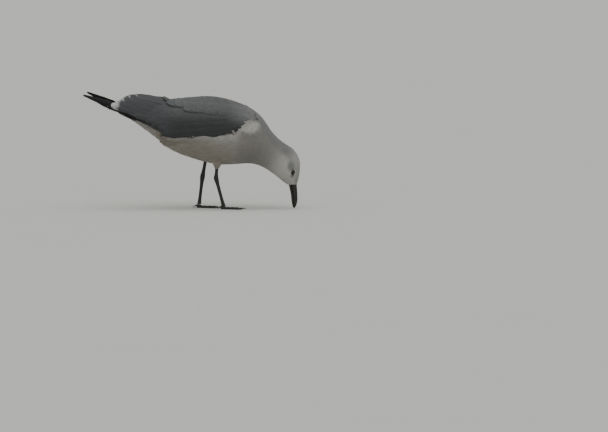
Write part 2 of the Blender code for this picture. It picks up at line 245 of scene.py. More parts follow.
class GullColours(bpy.types.PropertyGroup):
    white: hue("White", "#bdbbb7", "Head, side of the breast, tail and the crescents round the eyes")
    # Breast and belly are greyer than the white partly by the winter plumage's grey wash and partly by
    # painted shade, the belly darkest; the belly's warm tone is a painted reflection of the ground.
    breast: hue("Breast", "#92908b", "Breast, flanks and under the tail")
    belly: hue("Belly", "#8b867c", "Lower belly and vent")
    wash: hue("Grey wash", "#82807b", "The shawl on the neck's sides")
    nape: hue("Nape", "#767878", "Back of the neck and the smudge behind the eye")
    crown: hue("Crown", "#b0b0ae", "Top of the head")
    dusk: hue("Dusk", "#3d3e3f", "The dark spot before the eye")
    slate: hue("Mantle", "#5b5d5f", "Back and scapulars")
    # The wing's colour is the mantle's slate darkened as painted shade on the wing's side, and the
    # colour of its lower edge, darker still, is painted shade too.
    wing: hue("Wing", "#3b3c3e", "Wing coverts")
    wing_edge_shade: hue("Wing's lower edge", "#38393b", "Secondaries and the coverts over them")
    tertial: hue("Tertials", "#48494c", "The long feathers that cover the folded wing's tip")
    tertial_tip: hue("Tertial tips", "#b8b8b9", "Pale tips of the tertials")
    black: hue("Wing tip", "#1d1d20", "Primaries")


def measure(name, millimetres, description):
    return FloatProperty(
        name=name, description=description, default=millimetres * MM, min=0, unit="LENGTH"
    )


class GullSizes(bpy.types.PropertyGroup):
    body_spacing: FloatProperty(
        name="Body feather spacing",
        description="Distance between body feathers, as a share of their length",
        default=0.165,
        min=0.1,
        max=0.6,
        subtype="FACTOR",
    )
    coat_depth: measure("Coat depth", 1.8, "How far the skin lies inside the plumage's outer form")
    eye_clearance: measure("Ring round the eye", 4.6, "No feather of the head comes nearer its axis")
    eye_opening: measure("Eye opening", 3.7, "Half the length of the opening between the lids")
    vane_thickness: measure("Flight feather thickness", 0.3, "Of the vanes of wing and tail")


class GullStage(bpy.types.PropertyGroup):
    light: FloatProperty(
        name="Overhead light",
        description="Strength of the soft light above; the light from all round goes with it",
        default=1.3,
        min=0,
    )
    floor: hue("Floor", "#cdcdcb", "The pale floor")


def colour(name):
    return np.array(getattr(bpy.context.scene.gull_colours, name))


def size(name):
    """A size from the panel, in millimetres."""
    return getattr(bpy.context.scene.gull_sizes, name) / MM


# ---------------------------------------------------------------------------------------------
# Meshes


def select_only(obj):
    bpy.ops.object.select_all(action="DESELECT")
    obj.select_set(True)
    bpy.context.view_layer.objects.active = obj


def finish_piece(obj, material, replaced=()):
    """Gives a piece its material and the body it rides on, and hides the solids that it stands for."""
    obj.data.materials.clear()
    obj.data.materials.append(material)
    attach(obj, BODY)
    if replaced:
        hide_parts(*replaced)
    return obj


def apply_modifier(obj, kind, **settings):
    select_only(obj)
    modifier = obj.modifiers.new(kind.lower(), kind)
    for key, value in settings.items():
        setattr(modifier, key, value)
    bpy.ops.object.modifier_apply(modifier=modifier.name)


def merged_copy(name, nodes):
    """A new object with copies of some solids' meshes, their loose triangles merged."""
    bm = bmesh.new()
    for node in nodes:
        bm.from_mesh(frame["nodes"][node].data)
    bmesh.ops.remove_doubles(bm, verts=bm.verts, dist=0.002 * MM)
    mesh = bpy.data.meshes.new(name)
    bm.to_mesh(mesh)
    bm.free()
    obj = bpy.data.objects.new(name, mesh)
    bpy.context.scene.collection.objects.link(obj)
    return obj


def fine_copy(name, nodes, voxel, relax, inset=0.0):
    """One smooth, finely meshed piece from the union of some solids, drawn in by inset."""
    obj = merged_copy(name, nodes)
    apply_modifier(obj, "REMESH", mode="VOXEL", voxel_size=voxel * MM)
    apply_modifier(obj, "SMOOTH", factor=0.5, iterations=relax)
    if inset:
        apply_modifier(obj, "DISPLACE", strength=-inset * MM, mid_level=0)
        apply_modifier(obj, "SMOOTH", factor=0.5, iterations=2)
    select_only(obj)
    bpy.ops.object.shade_smooth()
    return obj


def extruded(name, rings, capped=True):
    """A round piece extruded ring by ring from a circle, each ring given as its points."""
    bpy.ops.object.select_all(action="DESELECT")
    bpy.ops.mesh.primitive_circle_add(vertices=len(rings[0]), radius=1, fill_type="NGON")
    obj = bpy.context.object
    obj.name = name
    bpy.ops.object.mode_set(mode="EDIT")
    bm = bmesh.from_edit_mesh(obj.data)
    number = bm.verts.layers.int.new("number")
    for k, vert in enumerate(bm.verts):
        vert[number] = k
    for i, ring in enumerate(rings):
        if i:
            bpy.ops.mesh.extrude_region_move()
            bm = bmesh.from_edit_mesh(obj.data)
            number = bm.verts.layers.int["number"]
        for vert in bm.verts:
            if vert.select:
                vert.co = ring[vert[number]] * MM
        bmesh.update_edit_mesh(obj.data)
    if not capped:
        caps = [face for face in bm.faces if len(face.verts) > 4]
        bmesh.ops.delete(bm, geom=caps, context="FACES_ONLY")
        bmesh.update_edit_mesh(obj.data)
    bpy.ops.mesh.select_all(action="SELECT")
    bpy.ops.mesh.normals_make_consistent(inside=False)
    bpy.ops.object.mode_set(mode="OBJECT")
    obj.data.attributes.remove(obj.data.attributes["number"])
    bpy.ops.object.shade_smooth()
    return obj


def points_of(obj):
    """A mesh's points in millimetres."""
    flat = np.empty(len(obj.data.vertices) * 3)
    obj.data.vertices.foreach_get("co", flat)
    return flat.reshape(-1, 3) / MM


def normals_of(obj):
    flat = np.empty(len(obj.data.vertices) * 3, np.float32)
    obj.data.vertex_normals.foreach_get("vector", flat)
    return flat.reshape(-1, 3).astype(float)


def move_points(obj, points):
    obj.data.vertices.foreach_set("co", (points * MM).ravel())
    obj.data.update()


def paint(obj, colours):
    """Stores linear colours, one for each point, for the material to read."""
    layer = obj.data.color_attributes.new("plumage", "FLOAT_COLOR", "POINT")
    rgba = np.concatenate([np.clip(colours, 0, 1), np.ones((len(colours), 1))], 1)
    layer.data.foreach_set("color", rgba.astype(np.float32).ravel())


def bake_map(obj, uv):
    """The map that the coat's colours are baked through: one (u, v) for each face corner."""
    layer = obj.data.uv_layers.new(name="OFBake")
    layer.data.foreach_set("uv", uv.astype(np.float32).ravel())


def unwrap_body(points):
    """Where points lie on the skin slit along the belly and laid flat."""
    share, turn, _ = MIDLINE.place(points)
    return np.stack([0.01 + 0.98 * share, 0.01 + 0.98 * (turn / (2 * math.pi) + 0.5)], 1)


class View:
    """A flat view of the bird: two axes of the picture and the way to the viewer."""

    def __init__(self, right, up, to_viewer):
        self.right, self.up = np.array(right, float), np.array(up, float)
        self.to_viewer = np.array(to_viewer, float)
        self.hand = math.copysign(1, np.cross(self.right, self.up) @ self.to_viewer)


SIDE_VIEWS = {name: View((1, 0, 0), (0, 0, 1), (0, side, 0)) for name, side in SIDES.items()}
TOP_VIEW = View((1, 0, 0), (0, 1, 0), (0, 0, 1))


class Cover:
    """A surface that feathers lie on."""

    def __init__(self, obj):
        self.points = points_of(obj)
        self.normals = normals_of(obj)
        self.faces = [tuple(face.vertices) for face in obj.data.polygons]
        self.tree = BVHTree.FromPolygons([Vector(p) for p in self.points], self.faces)
        bpy.data.objects.remove(obj, do_unlink=True)

    def normals_at(self, places, faces):
        corners = [self.faces[face][:4] for face in faces]
        corners = np.array([c if len(c) == 4 else (*c, c[0]) for c in corners])
        near = 1 / (np.linalg.norm(self.points[corners] - places[:, None], axis=2) + 0.2)
        return unit((self.normals[corners] * near[..., None]).sum(1))

    def nearest(self, points):
        """The nearest places on the surface, and its smooth normals there."""
        found = [self.tree.find_nearest(point) for point in points]
        places = np.array([hit[0] for hit in found])
        return places, self.normals_at(places, [hit[2] for hit in found])

    def hit(self, start, view, over):
        """Where a place of a flat view lies on the surface, and the face there.

        A place above or below the outline stands out from it by at most over, and one before or
        behind it by as much as it lies away. The last value is how far it was above the outline.
        """
        for step in np.arange(0, 15, 0.5):
            ways = ((view.up, over), (-view.up, over), (view.right, step), (-view.right, step))
            for way, most in ways:
                source = start + way * step + view.to_viewer * 300
                place, _, face, _ = self.tree.ray_cast(source, -view.to_viewer)
                if place is not None:
                    above = step if way @ view.up < 0 else 0
                    return np.array(place) - way * min(step, most), face, above
        place, _, face, _ = self.tree.find_nearest(start)
        return np.array(place), face, 0

    def seen(self, flat, view, over):
        """Where places of a flat view lie on the surface, the normals there, and how far above."""
        hits = [self.hit(view.right * a + view.up * b, view, over) for a, b in flat]
        places, faces, above = zip(*hits)
        return np.array(places), self.normals_at(np.array(places), faces), np.array(above)

    def scatter(self, spacing, wanted, seed, tries=8):
        """Random places at least spacing(places) apart where wanted(places) holds."""
        rng = np.random.default_rng(seed)
        quads = np.array([face for face in self.faces if len(face) == 4])
        quads = quads[wanted(self.points[quads].mean(1))]
        a, b, c, d = (self.points[quads[:, k]] for k in range(4))
        room = spacing(self.points[quads].mean(1))
        weight = np.linalg.norm(np.cross(c - a, d - b), axis=1) / 2 / room**2
        chosen = rng.choice(len(quads), int(tries * weight.sum()), p=weight / weight.sum())
        u, v = rng.random((2, len(chosen), 1))
        a, b, c, d = (corner[chosen] for corner in (a, b, c, d))
        places = (a * (1 - u) + b * u) * (1 - v) + (d * (1 - u) + c * u) * v
        return places[apart(places, room[chosen])]


def apart(places, room):
    """Indices of places that keep their room from those kept before, by dart throwing."""
    cell = float(room.max())
    grid, kept = {}, []
    keys = [tuple(key) for key in np.floor(places / cell).astype(int).tolist()]
    steps = [(i, j, k) for i in (-1, 0, 1) for j in (-1, 0, 1) for k in (-1, 0, 1)]
    for index, ((x, y, z), (i, j, k)) in enumerate(zip(places.tolist(), keys)):
        far = room[index] ** 2
        near = (other for di, dj, dk in steps for other in grid.get((i + di, j + dj, k + dk), ()))
        if all((x - a) ** 2 + (y - b) ** 2 + (z - c) ** 2 >= far for a, b, c in near):
            grid.setdefault((i, j, k), []).append((x, y, z))
            kept.append(index)
    return np.array(kept, int)


@lru_cache(maxsize=None)
def plumage():
    """The outer form of the plumage, which the feathers lie on, with what it closes round."""
    nodes = (*FLESH, "eye_left", "eye_right", "bill_upper", "bill_lower", "tail")
    return Cover(fine_copy("outer form", nodes, voxel=1.5, relax=5))


# ---------------------------------------------------------------------------------------------
# Feathers


@lru_cache(maxsize=None)
def master_vane(rows, columns, barbs=0.0):
    """One feather's vane, modelled flat: its width along X from -1 to 1, its length along Y.

    barbs is how far its last row parts into pointed barbs, as a share of the rest.
    """
    bpy.ops.object.select_all(action="DESELECT")
    bpy.ops.mesh.primitive_grid_add(x_subdivisions=columns, y_subdivisions=rows, size=2)
    obj = bpy.context.object
    if barbs:
        bpy.ops.object.mode_set(mode="EDIT")
        bpy.ops.mesh.select_all(action="DESELECT")
        bm = bmesh.from_edit_mesh(obj.data)
        for edge in bm.edges:
            edge.select_set(all(vert.co.y > 0.999 for vert in edge.verts))
        bmesh.update_edit_mesh(obj.data)
        bpy.ops.mesh.extrude_edges_indiv()
        bpy.ops.transform.translate(value=(0, 2 * barbs, 0))
        bpy.ops.mesh.merge(type="COLLAPSE")
        bpy.ops.object.mode_set(mode="OBJECT")
    flat = np.round([vert.co[:2] for vert in obj.data.vertices], 5)
    faces = [tuple(face.vertices) for face in obj.data.polygons]
    bpy.data.objects.remove(obj, do_unlink=True)
    along = (flat[:, 1] + 1) / 2
    body = np.flatnonzero(along < 1.001)
    order = np.lexsort((flat[body, 0], along[body]))
    # The rows of a vane without barbs lie closer towards its tip, to draw it round.
    return SimpleNamespace(
        across=flat[:, 0],
        along=along / along.max() if barbs else 1 - (1 - along) ** 1.4,
        ragged=along > 1.001,
        grid=body[order].reshape(rows + 1, columns + 1),
        corners=np.concatenate(faces),
        starts=np.cumsum([0] + [len(face) for face in faces[:-1]]),
    )


def parted(master, count, rng):
    """Each vane's own u along it and v across it, the ends of its barbs moved at random."""
    u = master.along + master.ragged * rng.uniform(-0.16, 0.10, (count, len(master.along)))
    return u, master.across + master.ragged * rng.uniform(-0.2, 0.2, u.shape)


def round_tip(u):
    """Width along a covert: narrow root, broad middle, round tip."""
    root = 0.45 + 0.55 * smooth(0, 0.35, u)
    return root * np.sqrt(np.clip(1 - np.clip((u - 0.5) / 0.502, 0, 1) ** 2.6, 0, 1))


def soft_tip(u):
    """Width along a body feather, whose barbs end one by one."""
    return (0.35 + 0.65 * smooth(0, 0.4, u)) * (1 - 0.35 * smooth(0.55, 1, u))


def blunt_tip(u):
    """Width along a secondary, tertial or tail feather: even sides and a blunt round tip."""
    root = 0.6 + 0.4 * smooth(0, 0.2, u)
    return root * np.sqrt(np.clip(1 - np.clip((u - 0.78) / 0.222, 0, 1) ** 2.2, 0, 1))


def long_point(u):
    """Width along a primary: it tapers over its outer part to a rounded point."""
    root = 0.6 + 0.4 * smooth(0, 0.2, u)
    return root * np.sqrt(np.clip(1 - np.clip((u - 0.42) / 0.582, 0, 1) ** 1.7, 0, 1))


# How a vane is held, with lengths in millimetres.
HOLD = dict(
    lift=(-1.0, 0.4),  # height of its root and of its tip over the surface
    bury=0.0,  # extra depth of its root
    bow=0.0,  # extra lift of its tip
    camber=0.12,  # how much its edges curve down, as a share of its width
    roll=0.0,  # its turn about its shaft
    yaw=0.06,  # random turn to a side
    splay=0.0,  # random lift of its barbs' ends
    reach=3.5,  # how far it may be from the surface and still be laid on it
    stiff=0,  # how many times it is straightened where it bridges a hollow
    over=0.6,  # how far it may stand out from the outline
    tuck=(-1, 0),  # up to where along it, fading, what lies above the outline is tucked in
)
TUCK_DEPTH = 1.2  # how deep a vane's edge lies where it is tucked in


def heights(u, v, width, hold, master, rng):
    """How high each point of each vane stands over the surface."""
    count = len(u)

    def each(value):
        return np.broadcast_to(value, count)[:, None]

    low, high = (each(value) for value in hold["lift"])
    height = low + (high - low) * np.clip(u, 0, 1) ** 0.8
    height = height + rng.normal(0, 0.07, (count, 1)) * (high - low)
    height = height - each(hold["bury"]) * (1 - smooth(0, 0.3, u))
    height = height + each(hold["bow"]) * smooth(0.3, 1, u) ** 1.3
    height = height - hold["camber"] * np.abs(v) ** 1.7 * each(width)
    height = height + each(hold["roll"]) * v * each(width) * smooth(0.1, 0.6, u)
    return height + master.ragged * rng.uniform(-0.3, 1.0, u.shape) * hold["splay"]


def lay_free(master, cover, roots, heading, length, width, shape, rng, **changes):
    """Lays one vane at each root over cover, in the direction of heading."""
    hold = {**HOLD, **changes}
    count = len(roots)
    length = np.broadcast_to(length, count) * rng.uniform(0.9, 1.1, count)
    width = np.broadcast_to(width, count) * rng.uniform(0.92, 1.08, count)
    _, normal = cover.nearest(roots)
    ahead = unit(heading - normal * (heading * normal).sum(1, keepdims=True))
    beside = np.cross(ahead, normal)
    yaw = rng.normal(0, hold["yaw"], (count, 1))
    along = ahead * np.cos(yaw) + beside * np.sin(yaw)
    across = beside * np.cos(yaw) - ahead * np.sin(yaw)
    u, v = parted(master, count, rng)
    run, wide = u * length[:, None], shape(u) * width[:, None] * v
    base = roots[:, None] + along[:, None] * run[..., None] + across[:, None] * wide[..., None]
    places, up = (found.reshape(base.shape) for found in cover.nearest(base.reshape(-1, 3)))
    height = heights(u, v, width, hold, master, rng)[..., None]
    gap = np.linalg.norm(base - places, axis=2)
    free = smooth(hold["reach"], 2.2 * hold["reach"], gap)[..., None]
    points = (places + up * height) * (1 - free) + (base + normal[:, None] * height) * free
    return SimpleNamespace(
        master=master, points=points, u=u, v=v, roots=roots, length=length, width=width
    )


def lay_seen(master, cover, view, roots, bends, tips, width, shape, rng, **changes):
    """Lays vanes along curves drawn in a flat view, from roots past bends to tips.

    Across a vane, v grows to the left of its way seen by the viewer of a right hand view.
    """
    hold = {**HOLD, **changes}
    roots, bends, tips = (np.asarray(row, float)[:, None] for row in (roots, bends, tips))
    count = len(roots)
    width = np.broadcast_to(width, count).astype(float)
    u, v = parted(master, count, rng)
    v = v * view.hand
    s = u[..., None]
    path = roots * (1 - s) ** 2 + bends * 2 * s * (1 - s) + tips * s**2
    slope = unit((bends - roots) * (1 - s) + (tips - bends) * s)
    beside = np.stack([slope[..., 1], -slope[..., 0]], -1)
    flat = path + beside * (shape(u) * width[:, None] * v)[..., None]
    *found, above = cover.seen(flat.reshape(-1, 2), view, hold["over"])
    places, up = (rows.reshape(count, -1, 3) for rows in found)
    tucked = smooth(0, 3, above.reshape(count, -1)) * (1 - smooth(*hold["tuck"], u))
    near = places @ view.to_viewer
    rows = near[:, master.grid]
    for _ in range(hold["stiff"]):
        rows[:, 1:-1] = np.maximum(rows[:, 1:-1], (rows[:, :-2] + rows[:, 2:]) / 2)
    end = rows[:, -1].mean(1)[:, None]
    straight = np.where(master.ragged, np.maximum(near, end), near)
    straight[:, master.grid] = rows
    places = places + view.to_viewer * ((straight - near) * (1 - tucked))[..., None]
    height = heights(u, v, width, hold, master, rng)
    height = height - (height + TUCK_DEPTH) * tucked
    points = places + up * height[..., None]
    first = master.grid[0, master.grid.shape[1] // 2]
    length = np.linalg.norm(tips - roots, axis=2)[:, 0]
    return SimpleNamespace(
        master=master, points=points, u=u, v=v, roots=places[:, first], length=length, width=width
    )


def joined(rows):
    """Rows of vanes of one master as one."""
    names = ("points", "u", "v", "roots", "length", "width")
    parts = {name: np.concatenate([getattr(row, name) for row in rows]) for name in names}
    return SimpleNamespace(master=rows[0].master, **parts)


def feather_mesh(name, vanes, colours, own_strips=False):
    """One joined mesh of all the vanes, with their colours, barb map and bake map."""
    master = vanes.master
    count, each = vanes.u.shape
    mesh = bpy.data.meshes.new(name)
    corners = (master.corners + np.arange(count)[:, None] * each).ravel()
    starts = (master.starts + np.arange(count)[:, None] * len(master.corners)).ravel()
    mesh.vertices.add(count * each)
    mesh.loops.add(len(corners))
    mesh.polygons.add(len(starts))
    mesh.vertices.foreach_set("co", (vanes.points * MM).ravel())
    mesh.loops.foreach_set("vertex_index", corners.astype(np.int32))
    mesh.polygons.foreach_set("loop_start", starts.astype(np.int32))
    mesh.update(calc_edges=True)
    obj = bpy.data.objects.new(name, mesh)
    bpy.context.scene.collection.objects.link(obj)
    select_only(obj)
    bpy.ops.object.shade_smooth()
    barbs = np.stack([vanes.v * vanes.width[:, None], vanes.u * vanes.length[:, None]], -1)
    layer = mesh.uv_layers.new(name="Barbs")
    layer.data.foreach_set("uv", barbs.reshape(-1, 2)[corners].astype(np.float32).ravel())
    patch = np.array([0.0026, 0.003])
    middle = unwrap_body(vanes.roots)
    if own_strips:
        columns = math.ceil(math.sqrt(count * 4))
        cell = 1 / np.array([columns, math.ceil(count / columns)])
        places = np.stack([np.arange(count) % columns, np.arange(count) // columns], 1)
        middle, patch = (places + 0.5) * cell, 0.8 * cell
    spread = np.stack([vanes.v / 2, vanes.u - 0.5], -1) * patch
    bake_map(obj, (middle[:, None] + spread).reshape(-1, 2)[corners])
    paint(obj, colours.reshape(-1, 3))
    return obj


def flight_feathers(name, vanes, colours, replaced=()):
    """Stiff feathers as one finished piece, with their thickness laid on inwards."""
    piece = feather_mesh(name, vanes, colours, own_strips=True)
    apply_modifier(piece, "SOLIDIFY", thickness=size("vane_thickness") * MM, offset=-1)
    return finish_piece(piece, stiff_feather(), replaced)


def tinted(colours, vanes, rng, tip=0.06, edge=0.05, spread=0.03):
    """Small differences from feather to feather, and a paler tip and edge."""
    own = rng.normal(1, spread, (len(vanes.roots), 1))
    fringe = 1 + tip * smooth(0.7, 1, vanes.u) + edge * smooth(0.6, 1, np.abs(vanes.v)) * vanes.u
    return colours * (own * fringe)[..., None]


# ---------------------------------------------------------------------------------------------
# Markings


def plain(name, points):
    """One colour for all of the points."""
    return np.broadcast_to(colour(name), points.shape)


def mix(base, other, share):
    """Colours with their share of another one, given by its name."""
    share = np.asarray(share)[..., None]
    return base * (1 - share) + colour(other) * share


def markings(points):
    """The plumage's colour at any points of the body, the same on skin and feathers, with painted shade
    on the underparts and under the wing's hind edge.
    """
    shape = points.shape
    points = points.reshape(-1, 3)
    share, turn, _ = MIDLINE.place(points)
    x, z = points[:, 0], points[:, 2]
    side = np.abs(turn) / math.pi  # 0 on the back, 1 on the belly
    ripple = 0.02 * np.sin(x * 0.21 + 3 * side) + 0.015 * np.sin(z * 0.37)
    # Painted shade: the underparts grow darker and warmer towards the belly, the warmth a painted
    # reflection of the ground.
    under = smooth(0.58, 0.78, side + ripple) * smooth(0.12, 0.3, share)
    tone = mix(plain("breast", points), "belly", under * (1 - smooth(0.52, 0.72, share)))
    # The grey shawl from the back of the neck down its sides, in front of the white breast side.
    shawl = smooth(0.59, 0.67, share + 0.4 * ripple) * (1 - smooth(0.74, 0.86, share))
    tone = mix(tone, "wash", shawl * (1 - 0.7 * smooth(0.75, 1.0, side + ripple)) * 0.95)
    nape = smooth(0.50, 0.60, share) * (1 - smooth(0.84, 0.92, share + ripple))
    tone = mix(tone, "nape", nape * (1 - smooth(0.20, 0.42, side + ripple)))
    tone = mix(tone, "white", smooth(0.80, 0.90, share) * smooth(0.25, 0.45, side))
    # The white side of the breast at the wing's bend, and the paler band below the wing.
    patch = np.hypot((x - 102) / np.where(x > 102, 18, 26), (z - 141) / 13) + 3 * ripple
    band = np.exp(-(((z - along_table(WING_LOW, x) + 3) / 6) ** 2)) * smooth(-20, 60, x)
    pale = np.maximum(0.85 * (1 - smooth(0.6, 1.15, patch)), 0.45 * band * (1 - smooth(96, 112, x)))
    tone = mix(tone, "white", pale * smooth(0.2, 0.3, side))
    tone = mix(tone, "crown", smooth(0.84, 0.92, share) * (1 - smooth(0.2, 0.5, side)) * 0.7)
    # The slate back grows paler and ends in a soft edge at the foot of the neck.
    edge = 0.36 - 0.14 * smooth(0.54, 0.66, share)
    back = smooth(-0.03, 0.03, edge + ripple - side) * (1 - smooth(0.52, 0.67, share + 0.5 * ripple))
    tone = mix(tone, "slate", back)
    # The shade under the hind edge of the folded wing.
    over = z - along_table(WING_LOW, x)
    line = smooth(-5, -2, over) * (1 - smooth(2, 4, over)) * (1 - smooth(-60, -36, x))
    tone = mix(tone, "wing_edge_shade", line * smooth(0.3, 0.4, side))
    for eye in EYES.values():
        tone = mark_face(tone, points, eye)
    return tone.reshape(shape)


def mark_face(tone, points, eye):
    """The smudge behind the eye, the dusky spot before it and the two white crescents."""
    off = points - eye.centre
    up, back = off @ eye.up, off @ eye.back
    outer = smooth(0, 6, off @ eye.look)
    smudge = 1 - smooth(3.5, 9, np.hypot(up + 3, (back - 11) * 0.7))
    tone = mix(tone, "nape", 0.8 * smudge * outer)
    spot = 1 - smooth(1.5, 5.0, np.hypot(up + 1.0, back + 6.5))
    tone = mix(tone, "dusk", 0.75 * spot * outer)
    gap = np.hypot(up / EYE_SLIMNESS, back)
    ring = smooth(3.2, 3.9, gap) * (1 - smooth(5.8, 7.2, gap)) * outer
    crescent = ring * smooth(0.5, 0.8, np.abs(up) / EYE_SLIMNESS / np.maximum(gap, 0.1))
    tone = mix(tone, "dusk", 0.5 * ring * (1 - crescent))
    return mix(tone, "white", crescent)


# ---------------------------------------------------------------------------------------------
# Materials


def add_node(tree, kind, links=(), sockets=(), **settings):
    """Adds a node, sets its properties and its sockets, and links (input, output) pairs."""
    node = tree.nodes.new("ShaderNode" + kind)
    for key, value in settings.items():
        setattr(node, key, value)
    for socket, value in dict(sockets).items():
        node.inputs[socket].default_value = value
    for socket, source in links:
        tree.links.new(source, node.inputs[socket])
    return node


def principled(name, **sockets):
    """A new material, its tree and its shader, with plain values set on the sockets."""
    material = bpy.data.materials.new(name)
    material.use_nodes = True
    shader = material.node_tree.nodes["Principled BSDF"]
    for key, value in sockets.items():
        shader.inputs[key.replace("_", " ")].default_value = value
    return material, material.node_tree, shader


def own_place(tree):
    """The object's own coordinates, in metres."""
    return add_node(tree, "TexCoord").outputs["Object"]


def grain(tree, scale, detail):
    """Noise over the object's own coordinates."""
    values = {"Scale": scale, "Detail": detail}
    return add_node(tree, "TexNoise", [("Vector", own_place(tree))], values).outputs["Fac"]


def shade(tree, shader, base, tone):
    """Gives the shader the base colour times tone."""
    shaded = add_node(tree, "VectorMath", [(0, base), ("Scale", tone)], operation="SCALE")
    tree.links.new(shaded.outputs[0], shader.inputs["Base Color"])


def shade_between(tree, shader, source, stops):
    """Gives the shader a colour from a ramp over (position, hex colour) stops."""
    ramp = add_node(tree, "ValToRGB", [("Fac", source)])
    elements = ramp.color_ramp.elements
    while len(elements) < len(stops):
        elements.new(0.5)
    for element, (position, hex_colour) in zip(elements, stops):
        element.position = position
        element.color = (*linear(hex_colour), 1)
    tree.links.new(ramp.outputs["Color"], shader.inputs["Base Color"])


def roughen(tree, shader, height, depth, strength):
    """Gives the shader a relief, its depth in millimetres."""
    values = {"Distance": depth * MM, "Strength": strength}
    bump = add_node(tree, "Bump", [("Height", height)], values)
    tree.links.new(bump.outputs[0], shader.inputs["Normal"])


def feather_material(name, streak, barb_gap, depth, shaft, **sockets):
    """Barbs that slant from the shaft to the feather's edge, over the markings' colour.

    streak is how much the barbs darken and lighten the colour, barb_gap their distance and
    depth their relief, in millimetres, and shaft how much darker the shaft is. Real barbs are
    0.3 mm apart: here they are coarser, as finer ones would not show.
    """
    material, tree, shader = principled(name, **sockets)
    marking = add_node(tree, "VertexColor", layer_name="plumage")
    where = add_node(tree, "UVMap", uv_map="Barbs")
    axes = add_node(tree, "SeparateXYZ", [("Vector", where.outputs["UV"])])
    out = add_node(tree, "Math", [(0, axes.outputs["X"])], operation="ABSOLUTE")
    # A barb runs outwards and on towards the tip, so it keeps the value of y - 1.1 |x|.
    lean = [(0, out.outputs[0]), (2, axes.outputs["Y"])]
    slant = add_node(tree, "Math", lean, {1: -1.1}, operation="MULTIPLY_ADD")
    per_mm = {1: 2 * math.pi / barb_gap}
    turns = add_node(tree, "Math", [(0, slant.outputs[0])], per_mm, operation="MULTIPLY")
    wave = add_node(tree, "Math", [(0, turns.outputs[0])], operation="SINE")
    blend = [(0, wave.outputs[0]), (2, grain(tree, 700.0, 3.0))]
    both = add_node(tree, "Math", blend, {1: 0.3}, operation="MULTIPLY_ADD")
    range_to = {"To Min": 1 - streak, "To Max": 1 + streak}
    barb_tone = add_node(tree, "MapRange", [("Value", both.outputs[0])], range_to)
    beside_shaft = {"From Min": 0.15, "From Max": 0.45, "To Min": 1 - shaft}
    shaft_tone = add_node(tree, "MapRange", [("Value", out.outputs[0])], beside_shaft)
    tones = [(0, barb_tone.outputs[0]), (1, shaft_tone.outputs[0])]
    tone = add_node(tree, "Math", tones, operation="MULTIPLY")
    shade(tree, shader, marking.outputs["Color"], tone.outputs[0])
    roughen(tree, shader, both.outputs[0], depth, 0.6)
    return material


@lru_cache(maxsize=None)
def soft_feather():
    """Contour feathers, grown and preened: matt and a little silky, with no gloss."""
    finish = dict(Roughness=0.8, Specular_IOR_Level=0.25, Sheen_Weight=0.2, Sheen_Roughness=0.5)
    return feather_material("contour feather, preened", 0.07, 0.8, 0.12, 0.0, **finish)


@lru_cache(maxsize=None)
def stiff_feather():
    """Wing and tail feathers: closed vanes whose barbs give a faint satin sheen."""
    finish = dict(Roughness=0.6, Specular_IOR_Level=0.2)
    return feather_material("flight feather, closed vane", 0.09, 0.9, 0.12, 0.18, **finish)


def shaded_skin_material():
    """Thin bird skin under down: matt, in the plumage's own colours, painted darker as shade so that
    gaps in the coat look deep.
    """
    material, tree, shader = principled("bird skin, painted dark as shade", Roughness=0.9, Specular_IOR_Level=0.2)
    marking = add_node(tree, "VertexColor", layer_name="plumage")
    down = grain(tree, 700.0, 4.0)
    # Painted shade: the skin at half to nine tenths of the plumage's colour, varied by the down's
    # grain.
    tone = add_node(tree, "MapRange", [("Value", down)], {"To Min": 0.5, "To Max": 0.9})
    shade(tree, shader, marking.outputs["Color"], tone.outputs[0])
    roughen(tree, shader, down, 0.5, 0.8)
    return material


@lru_cache(maxsize=None)
def horn():
    """Keratin of bill and claws, grown in layers and worn smooth: black, finely streaked."""
    material, tree, shader = principled("black horn, worn smooth", Roughness=0.38)
    drawn_out = add_node(tree, "Mapping", [("Vector", own_place(tree))], {"Scale": (900, 900, 110)})
    along = [("Vector", drawn_out.outputs[0])]
    streaks = add_node(tree, "TexNoise", along, {"Scale": 1.0, "Detail": 4.0}).outputs["Fac"]
    shade_between(tree, shader, streaks, [(0.35, "#131211"), (0.72, "#2f2c2b")])
    roughen(tree, shader, streaks, 0.12, 0.5)
    return material


@lru_cache(maxsize=None)
def scaled_skin():
    """Black leg skin with horny scales: dull in the creases, satin on the plates."""
    material, tree, shader = principled("scaled leg skin", Roughness=0.5, Specular_IOR_Level=0.45)
    # Small scales about 1 mm across, 1000 to the metre.
    where = [("Vector", own_place(tree))]
    cells = add_node(tree, "TexVoronoi", where, {"Scale": 1000.0}, feature="DISTANCE_TO_EDGE")
    plate = add_node(tree, "MapRange", [("Value", cells.outputs["Distance"])], {"From Max": 0.14})
    shade_between(tree, shader, plate.outputs[0], [(0.0, "#121213"), (1.0, "#272727")])
    roughen(tree, shader, plate.outputs[0], 0.15, 0.5)
    return material


def wet_eye(eye):
    """A wet eye: dark brown iris round a black pupil, under a mirror smooth cornea."""
    finish = dict(Roughness=0.05, Specular_IOR_Level=0.35, Coat_Weight=0.4, Coat_Roughness=0.02)
    material, tree, shader = principled("cornea over dark iris", **finish)
    pole = {1: Vector((eye.centre + eye.look * eye.radius) * MM)}
    gap = add_node(tree, "VectorMath", [(0, own_place(tree))], pole, operation="DISTANCE")
    radius = {1: eye.radius * MM}
    share = add_node(tree, "Math", [(0, gap.outputs["Value"])], radius, operation="DIVIDE")
    pupil, iris, rim = "#020202", "#24160d", "#060403"
    stops = [(0.0, pupil), (0.42, pupil), (0.47, iris), (0.75, "#1a100a"), (0.85, rim)]
    shade_between(tree, shader, share.outputs[0], stops)
    return material


@lru_cache(maxsize=None)
def lid_skin():
    """Bare skin of the eyelids: thin, creased and nearly black."""
    material, tree, shader = principled("bare lid skin", Roughness=0.55, Specular_IOR_Level=0.4)
    creases = grain(tree, 1500.0, 3.0)
    shade_between(tree, shader, creases, [(0.3, "#1b1918"), (0.7, "#34302e")])
    roughen(tree, shader, creases, 0.1, 0.6)
    return material


